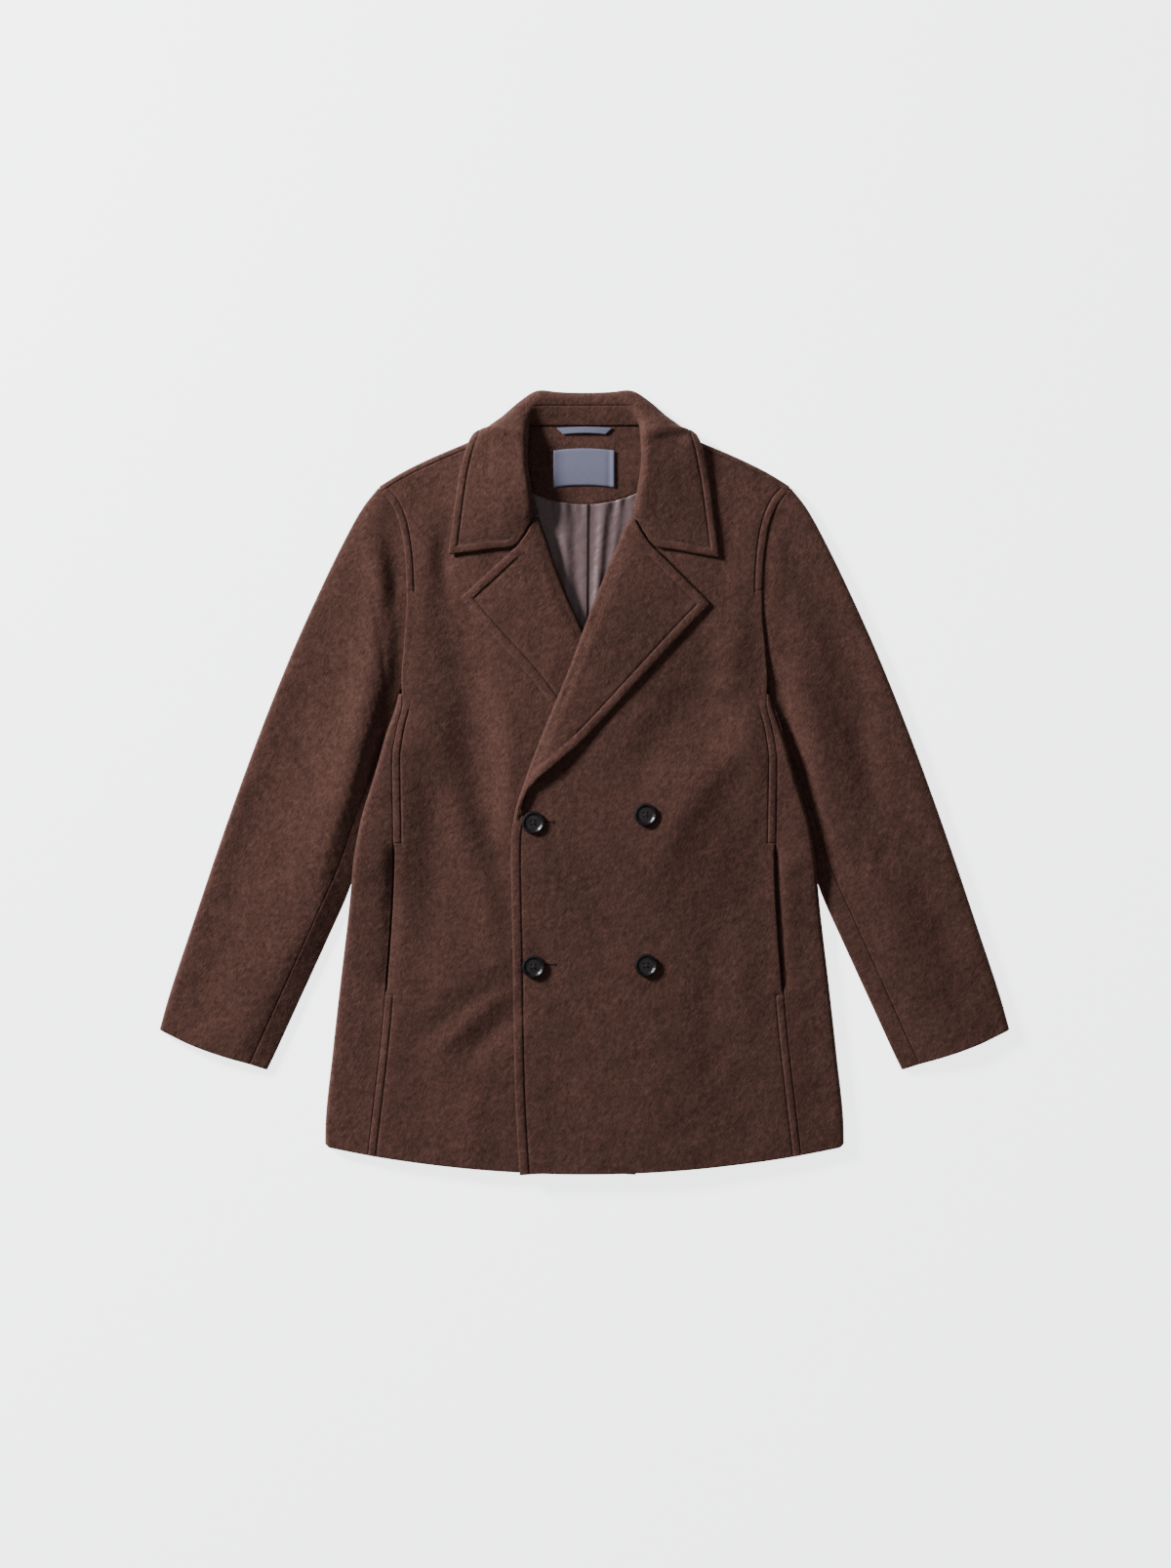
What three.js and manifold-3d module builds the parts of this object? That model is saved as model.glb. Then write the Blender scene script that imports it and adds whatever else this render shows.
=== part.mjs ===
// A double-breasted pea coat in heavy wool, buttoned up and laid flat on its back.
// Millimetres. +X points to the wearer's left, +Y from the hem to the collar, +Z up from
// the surface that the coat lies on. The origin is under the middle of the coat.
// Half outlines are written for the wearer's left, and mirrored for the right.
import * as THREE from "three";
import { mergeGeometries, mergeVertices } from "three/addons/utils/BufferGeometryUtils.js";
import Module from "manifold-3d";

const wasm = await Module();
wasm.setup();

// Driving dimensions
const CLOTH = 2.2; // one layer of wool, as on the body and the sleeves
const LEAF = 2.6; // the lapels and the collar, which have canvas inside
const LINING = 1;
const SATIN = 0.8; // the label and the hanger loop
const SEAM = 0.3; // what parts two pieces that are sewn together
const BED = 0.3; // what parts a piece from the one that it lies on
const ROOM = 1.2; // what parts a lapel or the collar from the front under it
const INNER_ROOM = 0.9; // what parts a front from the lapel cloth folded in under it
const FOLD = 9.6; // height of the folded sides and shoulders
const MIDDLE = 12.8; // height of the fronts over the middle of the body
const INNER_FOLD = 8; // height of a sleeve's inner fold
const SLEEVE_CROWN = 3.6; // how far a sleeve rises over its folds
const ON_SLEEVE = INNER_FOLD + 0.8; // how far the body's side is raised where it lies on a sleeve
const HEM_LOW = -429.9; // the hem at the middle of the body
const HEM_RISE = 29; // how far it rises at the sides
const HALF_HEM = 282; // from the middle to the folded side there
const SIDE_SEAM_HEM = 238; // to the seam between the front and the side panel
const BACK_SEAM_HEM = 216; // to the seam between the side panel and the back
const HEM_CORNER = 3.5; // how far the folded corners of the hem are rounded off
const SIDE_TOP = 88; // where the side seam meets the armhole
const SIDE_ROWS = 16; // steps up the side seam, the same in the pieces on both sides of it
const NECK_SEAM = 389.9;
const NECK_POINT = 80; // from the middle to where the shoulder seam meets the collar
const BUTTON_RADIUS = 12.7;
const BUTTON_BACK = 9.4; // radius of its flat back
const BUTTON_HEIGHT = 4.2;

const FOLD_RADIUS = FOLD / 2;
const ROLL = (ROOM + LEAF + CLOTH + INNER_ROOM + LEAF) / 2; // outer radius of a lapel's roll
const ON_FRONT = ROOM + LEAF; // from a front's upper face to the face of what is folded over it
const OVERLAP = CLOTH + ROOM; // how far the left front is raised by the right front under it
const UNDER_LAPEL = ON_FRONT + INNER_ROOM + LEAF + INNER_ROOM - ROOM; // more, over the right lapel
const SHOULDER_SQUARE = new THREE.Vector3(0.415, 0.91, 0); // square to the shoulder's outline
const NECK_LIFT = LEAF + 0.4; // how far the back of the neck is raised by the collar under it

// The body's edge from the hem up the side and round the armhole to the shoulder tip: half the
// width, how far the edge is raised, as a share of ON_SLEEVE, and how far the cloth there stands
// over a flat fold.
const BODY_EDGE = [
  { y: -430, x: 285, raised: 0, proud: 0 },
  { y: -383, x: 284.6, raised: 0, proud: 0 },
  { y: -298, x: 276.6, raised: 0, proud: 0 },
  { y: -212, x: 267, raised: 0, proud: 0 },
  { y: -175, x: 262.6, raised: 0, proud: 0 },
  { y: -140, x: 258.5, raised: 0.25, proud: 0 },
  { y: -110, x: 255.5, raised: 0.65, proud: 0 },
  { y: -84, x: 253, raised: 1, proud: 0 },
  { y: -41, x: 245, raised: 1, proud: 0 },
  { y: 2, x: 232, raised: 1, proud: 0 },
  { y: 25, x: 225.3, raised: 1, proud: 0 },
  { y: 50, x: 218.3, raised: 0.7, proud: 0 },
  { y: 88, x: 206, raised: 0.25, proud: 0 },
  { y: 105, x: 203, raised: 0.1, proud: 1 },
  { y: 146, x: 198.5, raised: 0, proud: 1.6 },
  { y: 184, x: 195.3, raised: 0, proud: 2 },
  { y: 215, x: 195.3, raised: 0, proud: 2 },
  { y: 252, x: 197.7, raised: 0, proud: 1.8 },
  { y: 284, x: 203.8, raised: 0, proud: 1.2 },
  { y: 306, x: 213.7, raised: 0, proud: 0.6 },
  { y: 323, x: 226.8, raised: 0, proud: 0 },
];
// The shoulder's outline, from the neck point to the tip.
const SHOULDER = [
  { x: 80, y: 390 },
  { x: 105, y: 382 },
  { x: 125, y: 373.7 },
  { x: 162, y: 358.2 },
  { x: 197.4, y: 341 },
  { x: 226.8, y: 323 },
];
// The seam between a front and its side panel, and the one between a side panel and the back.
const SIDE_SEAM = [
  { y: -430, front: 240, back: 216 },
  { y: -408, front: 237.5, back: 215 },
  { y: -233.5, front: 218.8, back: 203 },
  { y: -66.6, front: 209.7, back: 193 },
  { y: 23, front: 210.8, back: 188 },
  { y: 55, front: 206.5, back: 187 },
  { y: 88, front: 199.5, back: 187.5 },
  { y: 140, front: 199.5, back: 190.5 },
];
const POCKET = { low: -233.5, high: -66.6, mouth: 1.8 };
const ARMHOLE = [[199.6, 88], [200.8, 110], [198.5, 146], [195.3, 184], [195.3, 215], [197.7, 252],
  [203.8, 284], [213.7, 306], [223.6, 316.9]];
const BACK_ARMHOLE = [[203.5, 90], [197, 103], [192, 122], [190.5, 140], [191.5, 183], [195, 235],
  [204, 285], [214.5, 307], [224.4, 317.6]];
const BACK_ARMHOLE_SIDE = 0.2; // the share of the back armhole that the side panel has
const FRONT_EDGE_SHARE = 0.44; // of a front's inner side: the edge, and above it the roll line and neckline
const FRONT_SEAM_SHARE = 0.67; // of its outer side: the side seam, and above it the armhole
const BACK_NECK_SHARE = 0.9; // of the back's length: up to the neck
const BACK_SEAM_SHARE = 0.72; // up to the armhole
const ARMHOLE_GAP = 0.5; // what parts the body from a sleeve

// Each front's edge from the hem to the lapel's break, the line that the lapel rolls on, and
// the lapel's free edge from the break to its tip. Across is towards that front's own side.
const FRONT = {
  left: {
    edge: [[-71, -430.6], [-76, -340], [-78.5, -200], [-80.3, -64], [-78.6, -44]],
    roll: [[-76.5, -33], [-66, 0], [-49.5, 44.7], [-17, 124], [4.6, 182.7], [26.4, 237.3], [39.6, 268],
      [50.5, 291.3]],
    free: [[-70, -31], [-59.7, -6], [-31, 20], [-2.5, 44.7], [59.2, 110.6], [102.7, 158.6],
      [137.5, 197.7]],
    notch: [75.5, 257.6],
    tip: [137.5, 197.7],
    shows: 0.05, // where the lapel comes out from under the other front, as a share of its length
  },
  right: {
    edge: [[-56, -430.4], [-62, -340], [-68, -200], [-75.5, -64], [-77, -44]],
    roll: [[-76.5, -33], [-60, 10], [-30, 86], [2.1, 167.4], [17.2, 200.2], [30.4, 233], [39.2, 259],
      [50.5, 291.3]],
    free: [[-70, -31], [-45, -6], [0, 42], [36.4, 85.3], [61, 117.4], [102, 163.5], [134.3, 203.5]],
    notch: [75.5, 257.6],
    tip: [134.3, 203.5],
    shows: 0.5,
  },
};
// A front's neckline, which lies under the collar.
const NECKLINE = [[61.6, 293.8], [68.5, 325], [71.5, 352], [77, 376], [84.5, 384.3]];
const GORGE = [63, 273.6]; // on the seam between a lapel and the collar, halfway to the notch
const GORGE_SHARE = 0.36; // of a lapel's top
const LAPEL_START = 0.012; // the lapel's ends, as shares of its roll line
const LAPEL_END = 0.992;
const LAPEL_INSIDE = 7; // how far the lapel's cloth runs on under the front, past its roll

// A sleeve's outer and inner outline from the armhole to the cuff, and the cuff's line.
const SLEEVE_OUTER = [[226.8, 322.6], [243.4, 301.5], [267, 258.7], [307.6, 173], [334.9, 108.9], [368, 23.3],
  [398.6, -62.3], [427.5, -147.9], [455.8, -233.5], [466.5, -271.5]];
const SLEEVE_INNER = [[206, 89], [218, 50], [226.5, 2], [236.5, -41], [247.5, -84], [259.5, -121],
  [280.9, -169.3], [310.3, -233.5], [339.7, -297.7], [348.5, -315.8]];
const CUFF = [[466.5, -271.5], [432.3, -288.2], [397, -301], [366, -310], [348.5, -315.8]];
// The sleeve's lengthwise lines over the upper face, as shares of its width at the armhole and at
// the cuff. The seam between the top sleeve and the under sleeve runs along one of them.
const SLEEVE_LINES = [
  { armhole: 0.022, cuff: 0.044 },
  { armhole: 0.13, cuff: 0.14 },
  { armhole: 0.27, cuff: 0.28 },
  { armhole: 0.42, cuff: 0.42 },
  { armhole: 0.57, cuff: 0.56 },
  { armhole: 0.7, cuff: 0.7 },
  { armhole: 0.82, cuff: 0.78 },
  { armhole: 0.93, cuff: 0.84 },
  { armhole: 0.978, cuff: 0.964 },
];
const TIP_HOLD = 40; // how closely the sleeve keeps to the armhole next to the shoulder tip
const UNDERARM_HOLD = 6; // and at the underarm
const FOREARM_LINE = 7; // the row of that table where the front sleeve seam is
const HINDARM_LINE = 2; // and, on the under face, the back sleeve seam
const SLEEVE_ROWS = 15;

// Sections of the collar from the middle of the neck to the tip. Each runs from the neck seam up
// the stand, over the roll and down the fall to the outer edge. A height of null is that of the
// leaf, which lies on the front.
const COLLAR = [
  { neck: [0, 391, 8.2], stand: [0, 405, 10.2], crest: [0, 417, 11.2], over: [0, 424.5, 9.6],
    rim: [0, 427.8, 5.6], turn: [0, 423.5, 1.1], fall: [0, 405, 0], edge: [0, 346, 0] },
  { neck: [30, 391, 8.2], stand: [30, 405, 10.3], crest: [30.3, 417.5, 11.4], over: [30.6, 425.5, 9.8],
    rim: [31, 428.8, 5.7], turn: [31.5, 424, 1.1], fall: [32.5, 404, 0], edge: [35, 346, 0] },
  { neck: [52, 391.2, 8.4], stand: [50, 404, 11.5], crest: [49.6, 417, 13.2], over: [50.5, 426, 11.5],
    rim: [52, 429.8, 6.5], turn: [54.5, 425, 1.3], fall: [60, 400, 0], edge: [68, 348, 0] },
  { neck: [60, 390.8, 8.8], stand: [57, 400, 13], crest: [59, 409.5, 15.6], over: [65, 417, 13.8],
    rim: [69.5, 419.5, 7.8], turn: [70.5, 413, 2], fall: [76, 394, 0], edge: [88, 353, 0] },
  { neck: [62.5, 386, 9], stand: [59.5, 393, 13.4], crest: [64, 400, 17.4], over: [79, 403.4, 16.6],
    rim: [91.6, 400.6, 9], turn: [93.4, 393, 2.2], fall: [97, 382.4, 0], edge: [103, 362, 0] },
  { neck: [64, 380, 9.4], stand: [60.5, 385, 14], crest: [65, 391, 18.2], over: [86, 395.4, 18.2],
    rim: [104.8, 391, 10.2], turn: [108.4, 386.2, 3], fall: [111.5, 380.5, 0.3], edge: [113, 373.5, 0] },
  { neck: [64.6, 373.5, 9.6], stand: [61, 376.5, 14.4], crest: [65.5, 381, 18.8], over: [88, 386.5, 19.2],
    rim: [106, 388.2, 16.4], turn: [114.5, 386.8, 11.6], fall: [118.5, 384.4, 8.4], edge: [121, 382.4, 5.8] },
  { neck: [65.2, 366, 9.8], stand: [61.5, 367.5, 14.6], crest: [65.6, 370, null], over: [86, 374.5, null],
    rim: [104, 377, null], turn: [115, 377.5, 17.6], fall: [121.5, 376.8, 16.2], edge: [126.5, 375.6, 14.6] },
  { neck: [65.5, 350, 10.2], stand: [61.6, 350, 14.6], crest: [65.4, 349, null], over: [86, 347, null],
    rim: [104, 345.5, null], turn: [117, 344, null], fall: [125, 343, null], edge: [131.5, 342, null] },
  { neck: [62, 323, 10.5], stand: [57.6, 322, 14.6], crest: [61, 320, null], over: [84, 316, null],
    rim: [105, 312.5, null], turn: [120, 310, null], fall: [129.5, 308, null], edge: [137, 306.5, null] },
  { neck: [59.5, 306, 10], stand: [54.2, 304.5, 14.4], crest: [57.8, 301, null], over: [80, 292, null],
    rim: [103, 284.5, null], turn: [120, 280, null], fall: [132, 277, null], edge: [141, 275, null] },
  { neck: [56.4, 294.6, 10.2], stand: [51.3, 293.8, 14.2], crest: [55.6, 289.8, null],
    over: [65.5, 273.5, null], rim: [77, 259, null], turn: [100, 256, null], fall: [123, 253, null],
    edge: [144.5, 251, null] },
];
const COLLAR_COLUMNS = ["neck", "stand", "crest", "over", "rim", "turn", "fall", "edge"];
const COLLAR_STEPS = 2; // rows made for each section of the table
const LEAF_LIFT = 2.2; // how far the collar's and the lapels' free edges stand off

// The largest folds: where the middle is, the direction in degrees, the reach along and across, and
// the height, which is below zero in a trough. They lie on the upper face of the body.
const BODY_FOLDS = [
  { x: -112, y: -246, turn: 32, along: 62, across: 19, height: -3.4 }, // drag line to the lower button
  { x: -120, y: -210, turn: 34, along: 70, across: 24, height: 2 },
  { x: -172, y: 262, turn: 100, along: 55, across: 20, height: -2.2 }, // beside the armhole
  { x: 166, y: 268, turn: 82, along: 50, across: 20, height: -2 },
  { x: -118, y: -20, turn: 98, along: 120, across: 34, height: -2.4 }, // down from the lapel
  { x: 158, y: -100, turn: 84, along: 110, across: 32, height: -2.6 },
  { x: 118, y: 4, turn: 48, along: 80, across: 30, height: 2 },
  { x: -190, y: -330, turn: 96, along: 80, across: 26, height: -1.6 },
  { x: 176, y: -320, turn: 84, along: 90, across: 28, height: -1.8 },
];
// The same on a sleeve: how far down it, and the share of its width.
const SLEEVE_FOLDS = [
  { down: 0.2, share: 0.88, along: 0.13, across: 0.14, height: -4 }, // next to the body
  { down: 0.42, share: 0.3, along: 0.2, across: 0.16, height: -2.2 },
  { down: 0.62, share: 0.62, along: 0.2, across: 0.18, height: 1.8 },
  { down: 0.8, share: 0.3, along: 0.16, across: 0.16, height: -1.6 },
];

// What shows in the neck: the back facing, the label and the hanger loop.
const FACING = { low: 305.4, half: 74, arch: 20.5 };
const LINING_LOW = 96;
const LINING_NARROWS = 0.62; // its width at its lower end, as a share of that at the facing
const LABEL = { x: -0.5, y: 345.9, width: 67.4, height: 40.6, arch: 2.4 };
const LOOP = { low: 381.2, high: 388.4, lowHalf: 22.8, highHalf: 30.6, arch: 1.4, slack: 1.1 };
// The strip behind a pocket's mouth: how far it runs on past the mouth, and out and in from the seam.
const POCKET_STRIP = { past: 8, thickness: 1.4, depth: 0.7, across: [-14, -2, 10] };

const BUTTONS = [
  { name: "button_upper_right", x: -56, y: -44.1 },
  { name: "button_upper_left", x: 66.8, y: -35.5 },
  { name: "button_lower_right", x: -55.9, y: -202 },
  { name: "button_lower_left", x: 67.6, y: -200.5 },
];

const WOOL = new THREE.MeshStandardMaterial({ color: 0x573d35, roughness: 0.95, metalness: 0 });
const LINING_CLOTH = new THREE.MeshStandardMaterial({ color: 0x6e595a, roughness: 0.45, metalness: 0 });
const SATIN_CLOTH = new THREE.MeshStandardMaterial({ color: 0x7d7f95, roughness: 0.5, metalness: 0 });
const HORN = new THREE.MeshStandardMaterial({ color: 0x1c1a1e, roughness: 0.3, metalness: 0 });

// Plain helpers
const clamp = (k) => Math.min(1, Math.max(0, k));
const mix = (a, b, k) => a + (b - a) * k;
const point = (x, y, z = 0) => new THREE.Vector3(x, y, z);
const evenly = (count, low = 0, high = 1) =>
  Array.from({ length: count + 1 }, (_, i) => mix(low, high, i / count));

// A point of a wall's outer face, with the direction of its inner face.
class Spot extends THREE.Vector3 {
  constructor(x, y, z, inward = point(0, 0, -1)) {
    super(x, y, z);
    this.inward = inward;
  }
}

function ease(k) {
  const c = clamp(k);
  return c * c * (3 - 2 * c);
}

// Column `key` of a table as a smooth function of column `by`, with no overshoot.
function read(rows, by, key, at) {
  const last = rows.length - 1;
  if (at <= rows[0][by]) return rows[0][key];
  if (at >= rows[last][by]) return rows[last][key];
  const slope = (i) => (rows[i + 1][key] - rows[i][key]) / (rows[i + 1][by] - rows[i][by]);
  const tangent = (i) => {
    if (i === 0) return slope(0);
    if (i === last) return slope(last - 1);
    const before = slope(i - 1);
    const after = slope(i);
    return before * after > 0 ? (2 * before * after) / (before + after) : 0;
  };
  const i = rows.findIndex((row) => row[by] > at) - 1;
  const width = rows[i + 1][by] - rows[i][by];
  const k = (at - rows[i][by]) / width;
  const bend = k * k * (3 - 2 * k);
  return mix(rows[i][key], rows[i + 1][key], bend)
    + width * k * (1 - k) * ((1 - k) * tangent(i) - k * tangent(i + 1));
}

// A smooth plan curve through points, as a function of the share of its length.
function curve(points) {
  const line = new THREE.CatmullRomCurve3(points.map(([x, y]) => point(x, y)), false, "centripetal");
  return (share) => line.getPointAt(clamp(share));
}

// Two curves end to end, the first up to the given share.
function chain(first, second, share) {
  return (k) => (k < share ? first(k / share) : second((k - share) / (1 - share)));
}

const moved = (line, x, y) => (k) => line(k).add(point(x, y));

// A plan surface between four curves: u runs from left to right, v from bottom to top.
function patch({ left, right, bottom, top }) {
  const corner = [left(0), right(0), left(1), right(1)];
  return (u, v) => {
    const sides = left(v).multiplyScalar(1 - u).addScaledVector(right(v), u);
    const ends = bottom(u).multiplyScalar(1 - v).addScaledVector(top(u), v);
    return sides.add(ends)
      .addScaledVector(corner[0], -(1 - u) * (1 - v)).addScaledVector(corner[1], -u * (1 - v))
      .addScaledVector(corner[2], -(1 - u) * v).addScaledVector(corner[3], -u * v);
  };
}

// Heights
const shoulderLine = (x) => read(SHOULDER, "x", "y", Math.abs(x));
const shoulderSeam = (x) => shoulderLine(x) - FOLD_RADIUS - 1.8;
const hemLine = (x) => HEM_LOW + HEM_RISE * (x / HALF_HEM) ** 2;
const neckLift = (x, y) => NECK_LIFT * ease((y - 300) / 48) * ease((152 - Math.abs(x)) / 36);
function bodyEdge(y) {
  const under = ON_SLEEVE * read(BODY_EDGE, "y", "raised", y);
  const upper = FOLD + under + read(BODY_EDGE, "y", "proud", y);
  return { x: read(BODY_EDGE, "y", "x", y), upper, under };
}

function foldsAt(x, y) {
  return BODY_FOLDS.reduce((sum, fold) => {
    const angle = THREE.MathUtils.degToRad(fold.turn);
    const a = (x - fold.x) * Math.cos(angle) + (y - fold.y) * Math.sin(angle);
    const b = (y - fold.y) * Math.cos(angle) - (x - fold.x) * Math.sin(angle);
    return sum + fold.height * Math.exp(-((a / fold.along) ** 2) - (b / fold.across) ** 2);
  }, 0);
}

// The upper face of the fronts, where no other front lies under them.
function frontHeight(x, y) {
  const edge = bodyEdge(y);
  const inset = edge.x - Math.abs(x);
  const fromShoulder = shoulderLine(x) - y;
  const flat = ease((inset - 4) / 40) * ease((fromShoulder - 8) / 40);
  const middle = mix(FOLD, MIDDLE, ease(fromShoulder / 85) * (0.6 + 0.4 * ease((y - HEM_LOW) / 180)));
  return mix(edge.upper, middle, ease(inset / 90)) + neckLift(x, y) + foldsAt(x, y) * flat;
}

// The under face of the back. It lies on the surface, but for the neck and over the sleeves.
function backHeight(x, y) {
  const edge = bodyEdge(y);
  return edge.under * (1 - ease((edge.x - Math.abs(x) - 15) / 50)) + neckLift(x, y);
}

// The inner limit of the right front, as an x of the whole coat.
function rightFrontReach(y) {
  const { edge, roll } = FRONT.right;
  const rows = [...edge, ...roll].map(([x, high]) => ({ x: -x, y: high }));
  return read(rows, "y", "x", y);
}

// The upper face of the left front, which is raised where the right front lies under it.
function leftFrontHeight(x, y) {
  const near = 1 - ease((x - rightFrontReach(y)) / 110);
  const overLapel = ease((y + 130) / 90) * (1 - ease((y - 180) / 70));
  return frontHeight(x, y) + near * (OVERLAP + UNDER_LAPEL * overLapel) * (1 - ease((y - 200) / 80));
}

// A wall from a grid of points on its outer face, thickened inwards: along each spot's own
// direction, and square to the face where the grid has plain points. The first `joined` steps are
// left open at the start of each row, where the wall goes on in its mirror image.
function wall(rows, thickness, joined = 0) {
  const high = rows.length;
  const wide = rows[0].length;
  const at = (j, i) => rows[Math.min(high - 1, Math.max(0, j))][Math.min(wide - 1, Math.max(0, i))];
  const inward = (j, i) => {
    if (rows[j][i].inward) return rows[j][i].inward;
    const across = at(j, i + 1).clone().sub(at(j, i - 1));
    const along = at(j + 1, i).clone().sub(at(j - 1, i));
    return across.cross(along).normalize();
  };
  const positions = [];
  for (const depth of [0, thickness]) {
    rows.forEach((row, j) => row.forEach((p, i) => {
      const q = p.clone().addScaledVector(inward(j, i), depth);
      positions.push(q.x, q.y, Math.max(0, q.z));
    }));
  }
  const index = [];
  const outer = (j, i) => j * wide + i;
  const inner = (j, i) => high * wide + j * wide + i;
  const quad = (a, b, c, d) => index.push(a, b, c, a, c, d);
  for (let j = 0; j < high - 1; j += 1) {
    for (let i = 0; i < wide - 1; i += 1) {
      quad(outer(j, i), outer(j, i + 1), outer(j + 1, i + 1), outer(j + 1, i));
      quad(inner(j, i), inner(j + 1, i), inner(j + 1, i + 1), inner(j, i + 1));
    }
    if (j >= joined) quad(outer(j, 0), outer(j + 1, 0), inner(j + 1, 0), inner(j, 0));
    quad(outer(j, wide - 1), inner(j, wide - 1), inner(j + 1, wide - 1), outer(j + 1, wide - 1));
  }
  for (let i = 0; i < wide - 1; i += 1) {
    quad(outer(0, i), inner(0, i), inner(0, i + 1), outer(0, i + 1));
    quad(outer(high - 1, i), outer(high - 1, i + 1), inner(high - 1, i + 1), inner(high - 1, i));
  }
  const geometry = new THREE.BufferGeometry();
  geometry.setAttribute("position", new THREE.Float32BufferAttribute(positions, 3));
  geometry.setIndex(index);
  return facingOut(geometry);
}

// Turns a closed geometry's faces round where they point inwards.
function facingOut(geometry) {
  const p = geometry.getAttribute("position");
  const order = geometry.getIndex().array;
  const [a, b, c] = [point(0, 0), point(0, 0), point(0, 0)];
  let volume = 0;
  for (let i = 0; i < order.length; i += 3) {
    a.fromBufferAttribute(p, order[i]);
    b.fromBufferAttribute(p, order[i + 1]);
    c.fromBufferAttribute(p, order[i + 2]);
    volume += a.dot(b.cross(c));
  }
  if (volume < 0) geometry.setIndex(Array.from(order).reverse());
  geometry.computeVertexNormals();
  return geometry;
}

const coat = new THREE.Group();

function add(name, geometry, material) {
  const mesh = new THREE.Mesh(geometry, material);
  mesh.name = name;
  coat.add(mesh);
  return mesh;
}

const flip = (p, side) => point(side * p.x, p.y, p.z);
const mirrored = (rows, side) => rows.map((row) => row.map((p) =>
  new Spot(side * p.x, p.y, p.z, flip(p.inward, side))));

// A front, from its edge and roll line across to the side seam and the armhole, and from the hem to
// the shoulder seam.
function frontGrid(shape, height, side) {
  const rollInset = ROLL + 1.5;
  const rollAway = shape.roll.map(([x, y], i) => {
    const [fromX, fromY] = shape.roll[Math.max(0, i - 1)];
    const [toX, toY] = shape.roll[Math.min(shape.roll.length - 1, i + 1)];
    const length = Math.hypot(toX - fromX, toY - fromY);
    return [x + (rollInset * (toY - fromY)) / length, y - (rollInset * (toX - fromX)) / length];
  });
  const inner = chain(curve(shape.edge), curve([...rollAway, ...NECKLINE]), FRONT_EDGE_SHARE);
  const sideSeam = (k) => {
    const y = mix(hemLine(SIDE_SEAM_HEM), SIDE_TOP, k);
    const inPocket = ease((y - POCKET.low) / 6) * ease((POCKET.high - y) / 6);
    return point(read(SIDE_SEAM, "y", "front", y) - SEAM / 2 - POCKET.mouth * inPocket, y);
  };
  const outer = chain(sideSeam, moved(curve(ARMHOLE), -ARMHOLE_GAP, -ARMHOLE_GAP / 2), FRONT_SEAM_SHARE);
  const shoulder = (u) => {
    const x = mix(inner(1).x, outer(1).x, u);
    return point(x, shoulderSeam(x) - SEAM / 2);
  };
  const hem = (u) => {
    const x = mix(inner(0).x, outer(0).x, u);
    return point(x, Math.min(hemLine(x), mix(inner(0).y, outer(0).y, u)));
  };
  const plan = patch({ left: inner, right: outer, bottom: hem, top: shoulder });
  const armRows = SLEEVE_LINES.map((line) => mix(FRONT_SEAM_SHARE, 1, 1 - line.armhole)).reverse();
  const rows = [...evenly(SIDE_ROWS, 0, FRONT_SEAM_SHARE), ...armRows.slice(1), 1];
  return rows.map((v) => evenly(10).map((u) => {
    const p = plan(u, v);
    return new Spot(side * p.x, p.y, height(side * p.x, p.y));
  }));
}

// A side panel, from the front seam round the folded side to the back seam.
function sidePanelGrid() {
  const backArmhole = curve(BACK_ARMHOLE);
  const columns = [
    ...evenly(2).map((k) => ({ part: "upper", k, hem: mix(SIDE_SEAM_HEM, HALF_HEM, k) })),
    ...evenly(5).slice(1, -1).map((k) => ({ part: "fold", k, hem: HALF_HEM })),
    ...evenly(3).map((k) => ({ part: "under", k, hem: mix(HALF_HEM, BACK_SEAM_HEM, k) })),
  ];
  return evenly(SIDE_ROWS).map((v) => columns.map(({ part, k, hem }) => {
    const onArmhole = backArmhole(k * BACK_ARMHOLE_SIDE);
    const top = part === "under" ? onArmhole.y - 2 * SEAM : SIDE_TOP - SEAM;
    const corner = part === "fold" ? HEM_CORNER * Math.sin(Math.PI * k) : 0;
    const y = mix(hemLine(hem) + corner, top, v);
    const edge = bodyEdge(y);
    const flatX = edge.x - FOLD_RADIUS;
    if (part === "upper") {
      const x = mix(Math.min(read(SIDE_SEAM, "y", "front", y) + SEAM / 2, flatX - 0.5), flatX, k);
      return new Spot(x, y, mix(frontHeight(x, y), edge.upper, k));
    }
    if (part === "fold") {
      const [out, up] = [Math.sin(Math.PI * k), Math.cos(Math.PI * k)];
      const z = edge.under + FOLD_RADIUS * (1 + up);
      return new Spot(flatX + FOLD_RADIUS * out, y, z, point(-out, 0, -up));
    }
    const seam = read(SIDE_SEAM, "y", "back", y) + 2 * SEAM;
    const x = mix(mix(flatX, seam, k), onArmhole.x, ease((v - 0.9) / 0.1));
    return new Spot(x, y, backHeight(x, y), point(0, 0, 1));
  }));
}

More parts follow.
